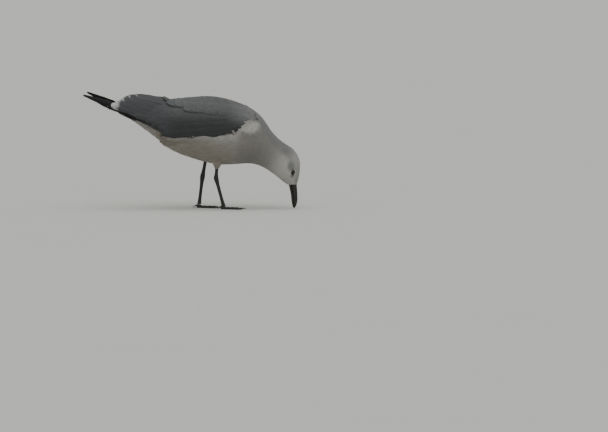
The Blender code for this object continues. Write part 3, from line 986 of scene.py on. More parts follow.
def floor_board():
    """A painted board: pale, flat and matt, with a barely visible grain."""
    material, tree, shader = principled("matt painted board", Roughness=1.0, Specular_IOR_Level=0.0)
    span = {"To Min": 0.98, "To Max": 1.02}
    tone = add_node(tree, "MapRange", [("Value", grain(tree, 3.0, 2.0))], span)
    coating = add_node(tree, "RGB")
    coating.outputs[0].default_value = (*bpy.context.scene.gull_stage.floor, 1)
    shade(tree, shader, coating.outputs[0], tone.outputs[0])
    return material


# ---------------------------------------------------------------------------------------------
# Skin and soft coat


def make_skin():
    """One skin over all the flesh, drawn in by the coat's depth."""
    skin = fine_copy("skin", FLESH, voxel=1.8, relax=6, inset=size("coat_depth"))
    points = points_of(skin)
    covered = on_wing(points, 1.0)[:, None]
    paint(skin, np.where(covered, wing_tones(points), markings(points)))
    corners = np.empty(len(skin.data.loops), np.int32)
    skin.data.loops.foreach_get("vertex_index", corners)
    bake_map(skin, unwrap_body(points)[corners])
    return finish_piece(skin, shaded_skin_material(), FLESH)


def near_eye(points):
    """How far points are from the nearer eye's axis of view."""
    gaps = []
    for eye in EYES.values():
        off = points - eye.centre
        along = (off * eye.look).sum(1, keepdims=True)
        gap = np.linalg.norm(off - along * eye.look, axis=1)
        gaps.append(np.where(along[:, 0] > 0, gap, 99))
    return np.minimum(*gaps)


# Lower and upper edge of the folded wing in side view, (x, z).
WING_LOW = [(-139, 177), (-113, 167), (-84, 152), (-55, 137), (-45, 125), (-28, 119), (0, 122)]
WING_LOW += [(56, 124), (79, 129), (90, 143), (101, 152), (113, 156)]
WING_HIGH = [(-140, 205), (-48, 203), (-36, 190), (45, 182), (84, 177), (110, 164)]
WING_REACH = (-141, 112)  # x of its hind and front end
# Lower edge, (x, z), of the strip that the tertials of the two wings leave free between them.
RIDGE = [(-128, 176), (-100, 189), (-78, 190)]


def on_wing(points, margin=0.0):
    """True for points on the outer side of a folded wing, margin inside its lower edge."""
    x, _, z = points.T
    inside = (z > along_table(WING_LOW, x) + margin) & (z < along_table(WING_HIGH, x))
    return (x > WING_REACH[0]) & (x < WING_REACH[1]) & inside


def thigh_share(points):
    """1 on the thighs' feathers below the belly, 0 away from them."""
    share = np.zeros(len(points))
    for name in SIDES:
        low, high = box_of("thigh_" + name)
        off = np.abs(points - (low + high) / 2) / (high - low + 6)
        inside = (off[:, 0] < 0.5) & (off[:, 1] < 0.5)
        share = np.maximum(share, inside * (1 - smooth(high[2] - 4, high[2] + 4, points[:, 2])))
    return share


def coat_lengths(points):
    """How long the feathers rooted at points are."""
    length = along_table(FEATHER_LENGTHS, MIDLINE.place(points)[0])
    return length * (1 - 0.6 * thigh_share(points))


def short_of_eyes(roots, heading, length):
    """Lengths cut down so that no feather reaches over an eye."""
    for _ in range(5):
        over = near_eye(roots + heading * length[:, None]) < size("eye_clearance")
        length = np.where(over, 0.65 * length, length)
    return length


def stand_off(cover, roots, heading, length):
    """How far the far end of a feather laid straight from its root would be off the body."""
    _, normal = cover.nearest(roots)
    along = unit(heading - normal * (heading * normal).sum(1, keepdims=True))
    ends = roots + along * length[:, None]
    return np.linalg.norm(cover.nearest(ends)[0] - ends, axis=1)


def coat(name, wanted, seed, master, density):
    """Small feathers scattered over the places that wanted picks out, in slight waves."""
    rng = np.random.default_rng(seed)
    cover = plumage()
    roots = cover.scatter(lambda points: coat_lengths(points) * density, wanted, seed)
    _, _, back = MIDLINE.place(roots)
    leg = thigh_share(roots)
    back = unit(back * (1 - leg)[:, None] - UPWARD * leg[:, None])
    _, normal = cover.nearest(roots)
    back = unit(back - normal * (back * normal).sum(1, keepdims=True))
    length = coat_lengths(roots)
    # A feather whose far end would stand off the body is left out.
    close = (stand_off(cover, roots, back, length) < 0.2 * length) | (leg > 0.3)
    roots, back, normal, length = roots[close], back[close], normal[close], length[close]
    x, y, z = roots.T / (1.6 * length)
    wave = np.sin(2.1 * x + 1.3 * np.sin(1.7 * z)) * np.sin(1.9 * z + 1.5 * y + 0.7 * x)
    heading = unit(back + np.cross(back, normal) * (0.16 * wave)[:, None])
    length = short_of_eyes(roots, heading, length)
    lift = (-0.05 * length - 0.15, (0.012 + 0.010 * wave) * length + 0.12)
    hold = dict(lift=lift, camber=0.07, yaw=0.12, splay=0.018 * length[:, None] + 0.10)
    vanes = lay_free(master, cover, roots, heading, length, 0.17 * length, soft_tip, rng, **hold)
    # Painted shade towards each feather's root, where the feathers before it cover it.
    shade = (0.84 + 0.16 * smooth(0, 0.6, vanes.u)) * (1 + 0.04 * wave)[:, None]
    shade = shade * (1 + 0.08 * rng.normal(size=vanes.u.shape) * master.ragged)
    return feather_mesh(name, vanes, tinted(markings(vanes.points) * shade[..., None], vanes, rng))


def share_of(points):
    return MIDLINE.place(points)[0]


def is_back(points):
    return np.abs(MIDLINE.place(points)[1]) < 0.37 * math.pi


def is_trunk(points):
    return (share_of(points) <= NECK_FROM) & ~on_wing(points, 1.0) & (points[:, 0] > VENT_END)


def is_neck(points):
    share = share_of(points)
    return (share > NECK_FROM) & (share <= HEAD_FROM)


def is_head(points):
    """The feathered head, down to the bill's base and without the bare rings round the eyes."""
    bill_top = box_of("bill_upper")[1][2]
    clear = near_eye(points) > size("eye_clearance")
    return (share_of(points) > HEAD_FROM) & clear & (points[:, 2] > bill_top - 0.6)


def make_coats():
    """The soft coat of head, neck, breast, belly and back."""
    spacing = bpy.context.scene.gull_sizes.body_spacing
    small, large = master_vane(1, 4, 1.0), master_vane(2, 5, 0.8)

    def is_mantle(points):
        return is_trunk(points) & is_back(points) & (points[:, 0] > MANTLE_END)

    def is_belly(points):
        return is_trunk(points) & ~is_back(points)

    regions = {
        "head_coat": (is_head, "plumage_white", small, spacing),
        "neck_coat": (is_neck, "plumage_pale_grey", small, spacing * 0.9),
        "back_coat": (is_mantle, "plumage_slate", large, spacing),
        "belly_coat": (is_belly, "plumage_white", large, spacing * 0.9),
    }
    for seed, (name, (wanted, slot, master, density)) in enumerate(regions.items(), start=11):
        finish_piece(coat(name, wanted, seed, master, density), soft_feather())


def around_eye(eye, count, phase=0.0):
    """Turns all round an eye, the ways out from its axis, and half the opening as an angle."""
    long_way = eye.back * math.cos(LID_TILT) + eye.up * math.sin(LID_TILT)
    short_way = np.cross(long_way, eye.look)
    turn = (np.arange(count) + phase) * 2 * math.pi / count
    way = long_way * np.cos(turn)[:, None] + short_way * np.sin(turn)[:, None]
    half_long = math.asin(size("eye_opening") / eye.radius)
    return turn, way, half_long * np.hypot(np.cos(turn), EYE_SLIMNESS * np.sin(turn))


def make_eye_rings():
    """Rings of tiny feathers round each eye, lying outwards from the lids."""
    rng = np.random.default_rng(21)
    cover, master = plumage(), master_vane(1, 4, 1.0)
    rings = []
    for eye in EYES.values():
        for ring in range(6):
            _, way, opening = around_eye(eye, 60, phase=ring / 2)
            lean = (opening + math.radians(5.0) + math.radians(4.5) * ring)[:, None]
            roots = eye.centre + (eye.look * np.cos(lean) + way * np.sin(lean)) * eye.radius
            heading = unit(way + eye.back * 0.6)
            hold = dict(lift=(0.1, 0.42), camber=0.07, reach=1.5, splay=0.1)
            rings.append(lay_free(master, cover, roots, heading, 1.7, 0.3, soft_tip, rng, **hold))
    vanes = joined(rings)
    piece = feather_mesh("eye_ring_feathers", vanes, tinted(markings(vanes.points), vanes, rng))
    return finish_piece(piece, soft_feather())


# ---------------------------------------------------------------------------------------------
# Wings


def wing_heading(x, z):
    """The lie of wing feathers in side view: back and down in front, back and up behind."""
    angle = np.interp(x, [-130, -60, -20, 40, 110], [20, 20, 6, -7, -20])
    angle = np.radians(angle * (1 - 0.75 * smooth(150, 190, z)))
    return np.stack([-np.cos(angle), np.sin(angle)], -1)


def wing_tones(points):
    """Painted shade: darkest along the lower edge, palest towards the back and the tertials, the side
    of the folded wing darker than the mantle's slate.
    """
    x, z = points[..., 0], points[..., 2]
    over = z - along_table(WING_LOW, x)
    tone = mix(plain("wing", points), "wing_edge_shade", 1 - smooth(2, 26, over))
    tone = mix(tone, "slate", smooth(146, 180, z))
    tone = mix(tone, "nape", smooth(55, 105, x) * smooth(140, 160, z) * 0.9)
    return mix(tone, "tertial", (1 - smooth(-62, -20, x)) * smooth(2, 14, over) * 0.9)


def edge_row(over, x_tips, length, bend=0.0):
    """Roots, bends and tips of a row whose tips run along the wing's lower edge, over it."""
    tips = np.stack([x_tips, along_table(WING_LOW, x_tips) + over], 1)
    heading = wing_heading(tips[:, 0] + length / 2, tips[:, 1])
    roots = tips - heading * length[:, None]
    sideways = np.stack([heading[:, 1], -heading[:, 0]], 1)
    return roots, (roots + tips) / 2 + sideways * bend, tips


# Rows of coverts over the wing's edge: height of the tips over it, first and last tip's x, how
# many, length, half width, and lift of the root and the tip.
COVERT_ROWS = [
    (14, 80, -66, 16, 32, 5.6, (-0.4, 0.65)),
    (24, 84, -52, 18, 22, 4.8, (-0.4, 0.6)),
    (33, 88, -34, 18, 17, 4.2, (-0.4, 0.55)),
]


def make_coverts(name, side):
    """Lesser coverts over the whole wing, then the rows of median and greater coverts."""
    rng = np.random.default_rng(40 + side)
    cover, view = plumage(), SIDE_VIEWS[name]
    master = master_vane(7, 6)

    def wanted(points):
        """The wing, where no tertials cover it."""
        x, y, z = points.T
        ridge = (x > RIDGE[0][0]) & (z > along_table(RIDGE, x))
        free = ridge | (x > RIDGE[-1][0])
        return on_wing(points, 4.0) & (y * side > 0) & free & (x < 106)

    roots = cover.scatter(lambda p: np.interp(p[:, 0], [-80, 0, 110], [4.2, 3.4, 2.3]), wanted, seed=31)
    length = np.interp(roots[:, 0], [-80, 0, 110], [16, 14, 8])
    flat = wing_heading(roots[:, 0], roots[:, 2])
    heading = np.stack([flat[:, 0], 0 * flat[:, 0], flat[:, 1]], 1)
    # Behind the mantle, a covert whose end would stand off the ridge is left out.
    kept = (stand_off(cover, roots, heading, length) < 0.2 * length) | (roots[:, 0] > -30)
    roots, heading, length = roots[kept], heading[kept], length[kept]
    hold = dict(lift=(-0.7, 0.2), camber=0.05, yaw=0.1)
    rows = [lay_free(master, cover, roots, heading, length, length * 0.33, round_tip, rng, **hold)]
    for over, first, last, count, long, wide, lift in COVERT_ROWS:
        x_tips = wiggled(np.linspace(last, first, count), rng, 1.4)
        length = wiggled(np.interp(x_tips, [-50, 80], [long * 1.1, long * 0.6]), rng, 1.2)
        row = edge_row(wiggled(np.full(count, over), rng, 0.8), x_tips, length)
        hold = dict(lift=lift, camber=0.05, bury=1.0)
        rows.append(lay_seen(master, cover, view, *row, wide * length / long, round_tip, rng, **hold))
    vanes = joined(rows)
    colours = tinted(wing_tones(vanes.points), vanes, rng, tip=0.10, edge=0.06)
    piece = feather_mesh("coverts_" + name, vanes, colours)
    return finish_piece(piece, stiff_feather())


def make_secondaries(name, side):
    """Secondaries along the lower edge, each overlapped by the one in front."""
    rng = np.random.default_rng(50 + side)
    x_tips = np.linspace(-100, 48, 15)
    length = np.interp(x_tips, [-100, 48], [62, 34])
    row = edge_row(np.interp(x_tips, [-50, -20], [2.2, 5.0]), x_tips, length, bend=1.5)
    hold = dict(lift=(-0.6, 0.3), camber=0.05, stiff=3)
    vanes = lay_seen(master_vane(12, 6), plumage(), SIDE_VIEWS[name], *row, 6.0, blunt_tip, rng, **hold)
    colours = tinted(wing_tones(vanes.points), vanes, rng, tip=0.12, edge=0.10)
    return flight_feathers("secondaries_" + name, vanes, colours)


# Tertials in side view: root, bend and tip, (x, z), and half width, the lowest one first.
TERTIALS = [
    ((-62, 156), (-104, 166), (-142, 178.4), 6.2),
    ((-56, 163), (-96, 172), (-130, 184.3), 6.7),
    ((-50, 170), (-88, 180), (-119, 190.8), 7.2),
    ((-44, 176), (-78, 186), (-108, 196), 6.8),
    ((-36, 182), (-68, 190.5), (-96, 197.5), 6.0),
]


def make_tertials(name, side):
    """The tertials, which cover the wing's tip like tiles and end in pale fringes."""
    rng = np.random.default_rng(60 + side)
    cover, view = plumage(), SIDE_VIEWS[name]
    *path, width = zip(*TERTIALS)
    layer = 0.25 * np.arange(len(TERTIALS))
    # The lowest ones lie over the primaries.
    hold = dict(lift=(layer - 0.4, layer + 0.7), bury=2.2, camber=0.08, roll=-0.05, stiff=2)
    hold |= dict(bow=np.array([2.6, 1.4, 0.3, 0.0, 0.0]), tuck=(0.35, 0.6))
    vanes = lay_seen(master_vane(16, 8), cover, view, *path, width, blunt_tip, rng, **hold)
    tone = mix(plain("tertial", vanes.points), "wing", smooth(0.3, 1, vanes.v) * 0.5)
    # The lowest one has the longest and palest tip.
    dark = np.array([[0.76], [0.86], [0.90], [0.92], [0.93]])
    fringe = smooth(dark, dark + 0.09, vanes.u + 0.03 * np.abs(vanes.v)) * (1.6 - dark / 1.5)
    border = 0.25 * smooth(0.75, 1, np.abs(vanes.v)) * vanes.u
    tone = mix(tone, "tertial_tip", np.clip(fringe + border, 0, 1))
    return flight_feathers("tertials_" + name, vanes, tinted(tone, vanes, rng))


# Rows of scapulars in side view: the row's last tip (x, z), its first tip, how many, length of
# the last and the first feather, and how far the last ones' tips are lifted.
SCAPULARS = [
    ((-13, 174.0), (46, 164), 6, 38, 20, 1.0),
    ((-42, 183.5), (38, 172), 7, 46, 22, 1.9),
    ((-48, 190.5), (28, 180), 6, 44, 24, 1.6),
]


def make_scapulars(name, side):
    """Rows of scapulars that fall back over the wing, the hindmost lifted at their tips."""
    rng = np.random.default_rng(70 + side)
    master, cover, view = master_vane(11, 8), plumage(), SIDE_VIEWS[name]
    rows = []
    for last, first, count, long, short, lifted in SCAPULARS:
        share = np.linspace(0, 1, count)
        line = np.array(last) + (np.array(first) - last) * share[:, None]
        tips = wiggled(line, rng, np.stack([3 * share, 1.2 * share], 1))
        length = long + (short - long) * share
        angle = np.radians(2 - 14 * share)
        heading = np.stack([-np.cos(angle), np.sin(angle)], 1)
        roots = tips - heading * length[:, None]
        bends = (roots + tips) / 2 + [0, 1.5]
        behind = (1 - share) ** 1.5
        hold = dict(lift=(-0.4, 0.8), bury=0.6, bow=lifted * behind, camber=0.06, stiff=2)
        hold |= dict(roll=-0.1 * behind, tuck=(1.1, 1.2))
        path = (roots, bends, tips)
        rows.append(lay_seen(master, cover, view, *path, 0.15 * length + 1.0, round_tip, rng, **hold))
    vanes = joined(rows)
    colours = tinted(wing_tones(vanes.points), vanes, rng, tip=0.12, edge=0.08)
    return flight_feathers("scapulars_" + name, vanes, colours)


def make_primaries(name, side):
    """Six black primaries a side, from the longest, lowest one up, laid over the blade."""
    rng = np.random.default_rng(80 + side)
    node = "primaries_" + name
    low, _ = box_of(node)

    def edges(x):
        return slice_extents(node, FORWARD * x, FORWARD, UPWARD)[0]

    roots, bends, tips = [], [], []
    for k in range(6):
        x_tip = low[0] + 0.4 + 9.5 * k
        bottom, top = edges(x_tip)
        tips.append((x_tip, top - 0.35 * (top - bottom)))
        bends.append((x_tip + 38, edges(x_tip + 38)[0] + 4.6 + 0.9 * k))
        roots.append((-62, edges(-62)[0] + 5.0 + 0.9 * k))
    cover = Cover(merged_copy("blade", [node]))
    layer = 0.1 + 0.35 * np.arange(6)
    path = (roots, bends, tips)
    hold = dict(lift=(layer, layer), camber=0.04, over=1.5)
    vanes = lay_seen(master_vane(20, 6), cover, SIDE_VIEWS[name], *path, 5.2, long_point, rng, **hold)
    colours = tinted(plain("black", vanes.points), vanes, rng, edge=0.3)
    return flight_feathers(node + "_vanes", vanes, colours, [node])


SCALLOP = 38  # distance of the scallops in which the flank's feathers end over the wing
FLANK_SPACING = 1.5  # distance between the flank's feathers


def over_wing_edge(points):
    return points[:, 2] - along_table(WING_LOW, points[:, 0])


def make_flanks(name, side):
    """Fluffy feathers of flank and breast side that close over the wing's lower and front edge."""
    rng = np.random.default_rng(90 + side)
    master, cover, view = master_vane(2, 5, 0.8), plumage(), SIDE_VIEWS[name]

    def below_edge(points):
        over, x = over_wing_edge(points), points[:, 0]
        return (over > -15) & (over < 0) & (x > -38) & (x < 98) & (points[:, 1] * side > 0)

    def at_bend(points):
        gap = np.hypot((points[:, 0] - 108) / 16, (points[:, 2] - 134) / 15)
        return (gap < 1) & (points[:, 1] * side > 0)

    rows = []
    for wanted, reach in ((below_edge, 18.0), (at_bend, 12.0)):
        roots = cover.scatter(lambda p: np.full(len(p), FLANK_SPACING), wanted, seed=92)
        angle = np.interp(roots[:, 0], [-30, 60, 92, 124], [20, 24, 36, 62])
        angle = np.radians(wiggled(angle, rng, 5))
        heading = np.stack([-np.cos(angle), 0 * angle, np.sin(angle)], 1)
        length = np.full(len(roots), reach)
        for _ in range(12):
            ends = roots + heading * length[:, None]
            scallop = 1.5 + 3.5 * np.abs(np.sin(ends[:, 0] / SCALLOP * math.pi))
            length = np.where(over_wing_edge(ends) > scallop, 0.9 * length, length)
        long = length > 0.35 * reach
        roots, heading, length = roots[long], heading[long], length[long]
        lift = (-0.6, 1.2 + 0.6 * smooth(-9, -3, over_wing_edge(roots)))
        hold = dict(lift=lift, bury=0.6, camber=0.06, splay=0.25)
        if wanted is at_bend:
            rows.append(lay_free(master, cover, roots, heading, length, 1.5, soft_tip, rng, **hold))
            continue
        flat = roots[:, [0, 2]]
        tips = flat + heading[:, [0, 2]] * length[:, None]
        path = (flat, (flat + tips) / 2 - [0, 0.6], tips)
        rows.append(lay_seen(master, cover, view, *path, 1.9, soft_tip, rng, stiff=4, **hold))
    vanes = joined(rows)
    # Painted shade towards each feather's root.
    tone = markings(vanes.points - [0, 0, 3]) * (0.86 + 0.14 * smooth(0, 0.6, vanes.u))[..., None]
    tone = tone * (1 + 0.08 * rng.normal(size=vanes.u.shape) * master.ragged)[..., None]
    piece = feather_mesh("flanks_" + name, vanes, tinted(tone, vanes, rng, spread=0.05))
    return finish_piece(piece, soft_feather())


def make_tail():
    """Twelve white tail feathers, folded nearly on each other, the middle pair on top."""
    rng = np.random.default_rng(100)
    low, high = box_of("tail")
    order = np.array(sorted(np.arange(12) - 5.5, key=lambda k: -abs(k)))
    half = high[1] - 4.2
    tips = np.stack([low[0] + 0.6 + 0.25 * np.abs(order), order / 5.5 * half], 1)
    roots = np.stack([np.full(12, high[0] + 4), order / 5.5 * 4.0], 1)
    layer = 0.22 * (5.5 - np.abs(order)) - 1.2
    cover = Cover(merged_copy("tail plate", ["tail"]))
    path = (roots, (roots + tips) / 2, tips)
    hold = dict(lift=(layer, layer), camber=0.02, over=1.5)
    vanes = lay_seen(master_vane(12, 6), cover, TOP_VIEW, *path, 4.6, blunt_tip, rng, **hold)
    colours = tinted(plain("white", vanes.points), vanes, rng)
    return flight_feathers("tail_vanes", vanes, colours, ["tail"])


# ---------------------------------------------------------------------------------------------
# Eyes


def make_eye(name):
    """An eyeball with its cornea standing out, turned to where the eye looks."""
    eye = EYES[name]
    bpy.ops.object.select_all(action="DESELECT")
    bpy.ops.mesh.primitive_uv_sphere_add(segments=48, ring_count=24, radius=eye.radius * MM)
    obj = bpy.context.object
    obj.name = "eyeball_" + name
    points = points_of(obj)
    points[:, 2] += 0.35 * smooth(0.72, 1.0, points[:, 2] / eye.radius)
    axes = np.stack([eye.up, np.cross(eye.look, eye.up), eye.look])
    move_points(obj, eye.centre + points @ axes)
    bpy.ops.object.shade_smooth()
    return finish_piece(obj, wet_eye(eye), ["eye_" + name])


# The lids' section, from the edge on the eyeball outwards: angle past the opening's edge in
# degrees, radius over the eyeball's.
LID_SECTION = [
    (1.0, -0.15),
    (-0.8, 0.10),
    (-0.5, 0.30),
    (1.2, 0.44),
    (3.2, 0.44),
    (5.5, 0.25),
    (9, -0.1),
    (16, -0.9),
]
LID_TILT = math.radians(16)  # the long way of the eye's opening, turned from the nape's way


def make_lids(name):
    """Upper and lower lid as one rolled rim round an almond opening."""
    eye = EYES[name]
    turn, way, opening = around_eye(eye, 56)
    rings = []
    for angle, over in LID_SECTION:
        lean = (opening + math.radians(angle))[:, None]
        crease = 0.05 * np.sin(turn * 9)[:, None] * (angle > 3)
        direction = eye.look * np.cos(lean) + way * np.sin(lean)
        rings.append(eye.centre + direction * (eye.radius + over + crease))
    lids = extruded("eyelids_" + name, rings, capped=False)
    apply_modifier(lids, "SUBSURF", levels=1, render_levels=1)
    return finish_piece(lids, lid_skin())


# ---------------------------------------------------------------------------------------------
# Bill, legs and feet

BILL_PITCH = math.radians(86)
BILL_AHEAD = np.array([math.cos(BILL_PITCH), 0, -math.sin(BILL_PITCH)])
CULMEN_WAY = np.array([math.sin(BILL_PITCH), 0, math.cos(BILL_PITCH)])


def bill_sections(node, shares):
    """Way along the bill, lowest and highest reach to the culmen, half width, at each share."""
    reach = triangles_of(node) @ BILL_AHEAD
    rows = []
    for share in shares:
        run = reach.min() + (reach.max() - reach.min()) * share
        reaches = slice_extents(node, BILL_AHEAD * run, BILL_AHEAD, CULMEN_WAY, LEFTWARD)
        (low, high), (right, left) = reaches
        rows.append((run, low, high, (left - right) / 2))
    return rows


def make_mandible(name, inner):
    """One half of the bill, round outside and squarer on the side that meets the other half.

    inner is -1 for the upper half, whose inner side is below, and 1 for the lower half.
    """
    shares = np.concatenate([np.linspace(0.004, 0.90, 34), np.linspace(0.92, 0.994, 8)])
    turn = np.linspace(0, 2 * math.pi, 36, endpoint=False)
    rise, out = np.sin(turn), np.cos(turn)
    power = np.where(inner * rise > 0, 0.35, 0.92)
    out = np.sign(out) * np.abs(out) ** power
    rings = []
    for share, (run, low, high, half) in zip(shares, bill_sections(name, shares)):
        flank = np.full(len(turn), half)
        if inner < 0:
            # The nostril: a slit in a shallow groove on each side of the culmen.
            slit = math.exp(-(((share - 0.33) / 0.10) ** 2)) * np.exp(-(((rise - 0.42) / 0.16) ** 2))
            groove = math.exp(-(((share - 0.28) / 0.20) ** 2)) * np.exp(-(((rise - 0.45) / 0.35) ** 2))
            flank = flank * (1 - 0.20 * slit - 0.10 * groove)
            low = low - 0.1
        else:
            # Its cutting edges close inside the upper half's.
            flank = flank - 0.35 * smooth(0.1, 0.8, rise)
            high = high + 0.45
        height = (low + high) / 2 + (high - low) / 2 * rise
        ring = BILL_AHEAD * run + CULMEN_WAY * height[:, None] + LEFTWARD * (flank * out)[:, None]
        rings.append(ring)
    # The base goes on into the head, and the tip closes round.
    base, point = rings[0].mean(0), rings[-1].mean(0)
    rings.insert(0, rings[0] - BILL_AHEAD * 1.5)
    rings.insert(0, base + (rings[0] - base) * 0.8 - BILL_AHEAD * 3.5)
    rings.append(point + (rings[-1] - point) * 0.45 + BILL_AHEAD * 0.15)
    piece = extruded(name + "_horn", rings)
    apply_modifier(piece, "SUBSURF", levels=1, render_levels=1)
    return finish_piece(piece, horn(), [name])


def make_shank(name):
    """The bare leg, with plates down its front, knobs down its back and the ankle's swelling."""
    node = "shank_" + name
    low, high = box_of(node)
    levels = np.arange(low[2] + 2.2, high[2] - 1.2, 0.62)
    sizes = np.array([slice_extents(node, UPWARD * z, UPWARD, FORWARD, LEFTWARD) for z in levels])
    sizes = sizes.reshape(-1, 4)
    for _ in range(6):
        sizes[1:-1] = (sizes[:-2] + 2 * sizes[1:-1] + sizes[2:]) / 4
    sizes = np.vstack([2 * sizes[0] - sizes[3], sizes, 2 * sizes[-1] - sizes[-3]])
    levels = np.concatenate([[low[2] + 0.15], levels, [high[2] + 0.4]])
    turn = np.linspace(0, 2 * math.pi, 28, endpoint=False)
    rings = []
    for z, (x0, x1, y0, y1) in zip(levels, sizes):
        plate = (z / 2.6) % 1.0
        front = smooth(-0.2, 0.8, np.cos(turn))
        back = smooth(0.0, 0.9, -np.cos(turn))
        knobs = 0.5 + 0.5 * np.sin(z / 1.3 * math.pi + 4 * turn)
        swell = 1 + 0.05 * front * (plate**0.6 - 0.5) + 0.025 * back * knobs
        ring = np.stack([np.cos(turn) * (x1 - x0) / 2, np.sin(turn) * (y1 - y0) / 2, 0 * turn], 1)
        rings.append(ring * swell[:, None] + np.array([(x0 + x1) / 2, (y0 + y1) / 2, z]))
    return finish_piece(extruded(node + "_scaled", rings), scaled_skin(), [node])


def make_foot(name):
    """The webbed foot, with plates over the toes."""
    node = "foot_" + name
    foot = fine_copy(node + "_scaled", [node], voxel=0.42, relax=2)
    points, normals = points_of(foot), normals_of(foot)
    mounts = {mount["name"]: np.array(mount["pos_m"]) / MM for mount in frame["record"]["mounts"]}
    run = np.linalg.norm((points - mounts[name + "_sole"])[:, :2], axis=1)
    over = smooth(0.2, 0.8, normals[:, 2]) * smooth(1.3, 2.4, points[:, 2])
    plate = (run / 1.9) % 1.0
    points = points + normals * (0.16 * over * (plate**0.6 - 0.4))[:, None]
    points[:, 2] = np.maximum(points[:, 2], 0.0)
    move_points(foot, points)
    return finish_piece(foot, scaled_skin(), [node])


def make_claws():
    """Each claw as a smooth curved horn over its solid."""
    for node in sorted(name for name in frame["nodes"] if name.startswith("claw_")):
        claw = merged_copy(node + "_horn", [node])
        select_only(claw)
        bpy.ops.object.mode_set(mode="EDIT")
        bpy.ops.mesh.select_all(action="SELECT")
        bpy.ops.mesh.tris_convert_to_quads()
        bpy.ops.object.mode_set(mode="OBJECT")
        apply_modifier(claw, "SUBSURF", levels=2, render_levels=2)
        bpy.ops.object.shade_smooth()
        finish_piece(claw, horn(), [node])


# ---------------------------------------------------------------------------------------------
# Stage


def make_floor():
    bpy.ops.object.select_all(action="DESELECT")
    bpy.ops.mesh.primitive_plane_add(size=80)
    floor = bpy.context.object
    floor.name = "floor"
    floor.data.materials.append(floor_board())


def make_lights():
    """A wide soft light overhead, and an even sky as bright as the floor looks: no horizon shows."""
    scene = bpy.context.scene
    stage = scene.gull_stage
    light = bpy.data.lights.new("overhead", "SUN")
    light.energy = stage.light
    light.angle = math.radians(75)
    overhead = bpy.data.objects.new("overhead", light)
    overhead.rotation_euler = (math.radians(14), math.radians(6), 0)
    scene.collection.objects.link(overhead)
    # The floor sends on its share of the overhead light and of the sky's, which is to equal it.
    square_on = 0.88  # share of so wide and slanting a light that counts on a level floor
    floor, from_above = np.array(stage.floor), square_on * stage.light / math.pi
    even = floor * from_above / (1 - floor)
    scene.world = scene.world or bpy.data.worlds.new("sky")
    scene.world.use_nodes = True
    sky = scene.world.node_tree.nodes["Background"]
    sky.inputs["Color"].default_value = (*(even / even.max()), 1)
    sky.inputs["Strength"].default_value = even.max()


def make_camera():
    """A long lens, level with the bird's right side and 4 degrees above it."""
    camera = bpy.data.cameras.new("camera")
    distance, elevation = 8.0, math.radians(4)
    field = 1.046  # width of the view at the bird
    middle = Vector((0.1935, 0, -0.013))  # in front of the bird and below it
    camera.lens = camera.sensor_width * distance / field
    camera.clip_end = 200
    obj = bpy.data.objects.new("camera", camera)
    obj.location = middle + Vector((0, -math.cos(elevation), math.sin(elevation))) * distance
    obj.rotation_euler = (math.pi / 2 - elevation, 0, 0)
    bpy.context.scene.collection.objects.link(obj)
    bpy.context.scene.camera = obj


# ---------------------------------------------------------------------------------------------
# Operators and panel


class GULL_OT_skin(bpy.types.Operator):
    """Make the skin that lies under the coat"""

    bl_idname = "gull.skin"
    bl_label = "Skin"

    def execute(self, context):
        make_skin()
        return {"FINISHED"}


class GULL_OT_coat(bpy.types.Operator):
    """Make the soft feathers of head, neck, body and flanks"""

    bl_idname = "gull.coat"
    bl_label = "Soft coat"

    def execute(self, context):
        make_coats()
        make_eye_rings()
        for name, side in SIDES.items():
            make_flanks(name, side)
        return {"FINISHED"}


class GULL_OT_wings(bpy.types.Operator):
    """Make the coverts, secondaries, tertials, scapulars and primaries of both wings"""

    bl_idname = "gull.wings"
    bl_label = "Wings"

    def execute(self, context):
        for name, side in SIDES.items():
            make_coverts(name, side)
            make_secondaries(name, side)
            make_tertials(name, side)
            make_scapulars(name, side)
            make_primaries(name, side)
        return {"FINISHED"}


class GULL_OT_tail(bpy.types.Operator):
    """Make the tail feathers"""

    bl_idname = "gull.tail"
    bl_label = "Tail"

    def execute(self, context):
        make_tail()
        return {"FINISHED"}


class GULL_OT_eyes(bpy.types.Operator):
    """Make both eyes and their lids"""

    bl_idname = "gull.eyes"
    bl_label = "Eyes"

    def execute(self, context):
        for name in SIDES:
            make_eye(name)
            make_lids(name)
        return {"FINISHED"}


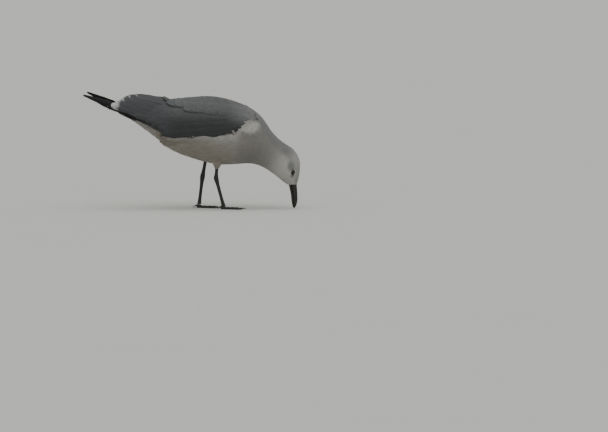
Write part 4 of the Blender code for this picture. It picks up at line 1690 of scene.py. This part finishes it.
class GULL_OT_bill(bpy.types.Operator):
    """Make the bill's two halves"""

    bl_idname = "gull.bill"
    bl_label = "Bill"

    def execute(self, context):
        make_mandible("bill_upper", inner=-1)
        make_mandible("bill_lower", inner=1)
        return {"FINISHED"}


class GULL_OT_legs(bpy.types.Operator):
    """Make the bare legs, the webbed feet and the claws"""

    bl_idname = "gull.legs"
    bl_label = "Legs"

    def execute(self, context):
        for name in SIDES:
            make_shank(name)
            make_foot(name)
        make_claws()
        return {"FINISHED"}


class GULL_OT_stage(bpy.types.Operator):
    """Make the floor, the lights and the camera"""

    bl_idname = "gull.stage"
    bl_label = "Stage"

    def execute(self, context):
        make_floor()
        make_lights()
        make_camera()
        return {"FINISHED"}


OPERATORS = (
    GULL_OT_skin,
    GULL_OT_coat,
    GULL_OT_wings,
    GULL_OT_tail,
    GULL_OT_eyes,
    GULL_OT_bill,
    GULL_OT_legs,
    GULL_OT_stage,
)


class GULL_PT_panel(bpy.types.Panel):
    """The gull's settings and the operators that make it, in their order"""

    bl_idname = "GULL_PT_panel"
    bl_label = "Gull"
    bl_space_type = "VIEW_3D"
    bl_region_type = "UI"
    bl_category = "Gull"

    def draw(self, context):
        for name in SETTINGS:
            settings, box = getattr(context.scene, name), self.layout.box()
            for setting in settings.__annotations__:
                box.prop(settings, setting)
        for operator in OPERATORS:
            self.layout.operator(operator.bl_idname)


SETTINGS = {"gull_colours": GullColours, "gull_sizes": GullSizes, "gull_stage": GullStage}
CLASSES = (*SETTINGS.values(), *OPERATORS, GULL_PT_panel)


def register():
    for cls in CLASSES:
        bpy.utils.register_class(cls)
    for name, group in SETTINGS.items():
        setattr(bpy.types.Scene, name, PointerProperty(type=group))


def unregister():
    for name in SETTINGS:
        delattr(bpy.types.Scene, name)
    for cls in reversed(CLASSES):
        bpy.utils.unregister_class(cls)


def main():
    register()
    bpy.ops.gull.skin()
    bpy.ops.gull.coat()
    bpy.ops.gull.wings()
    bpy.ops.gull.tail()
    bpy.ops.gull.eyes()
    bpy.ops.gull.bill()
    bpy.ops.gull.legs()
    bpy.ops.gull.stage()


if __name__ == "__main__":
    main()
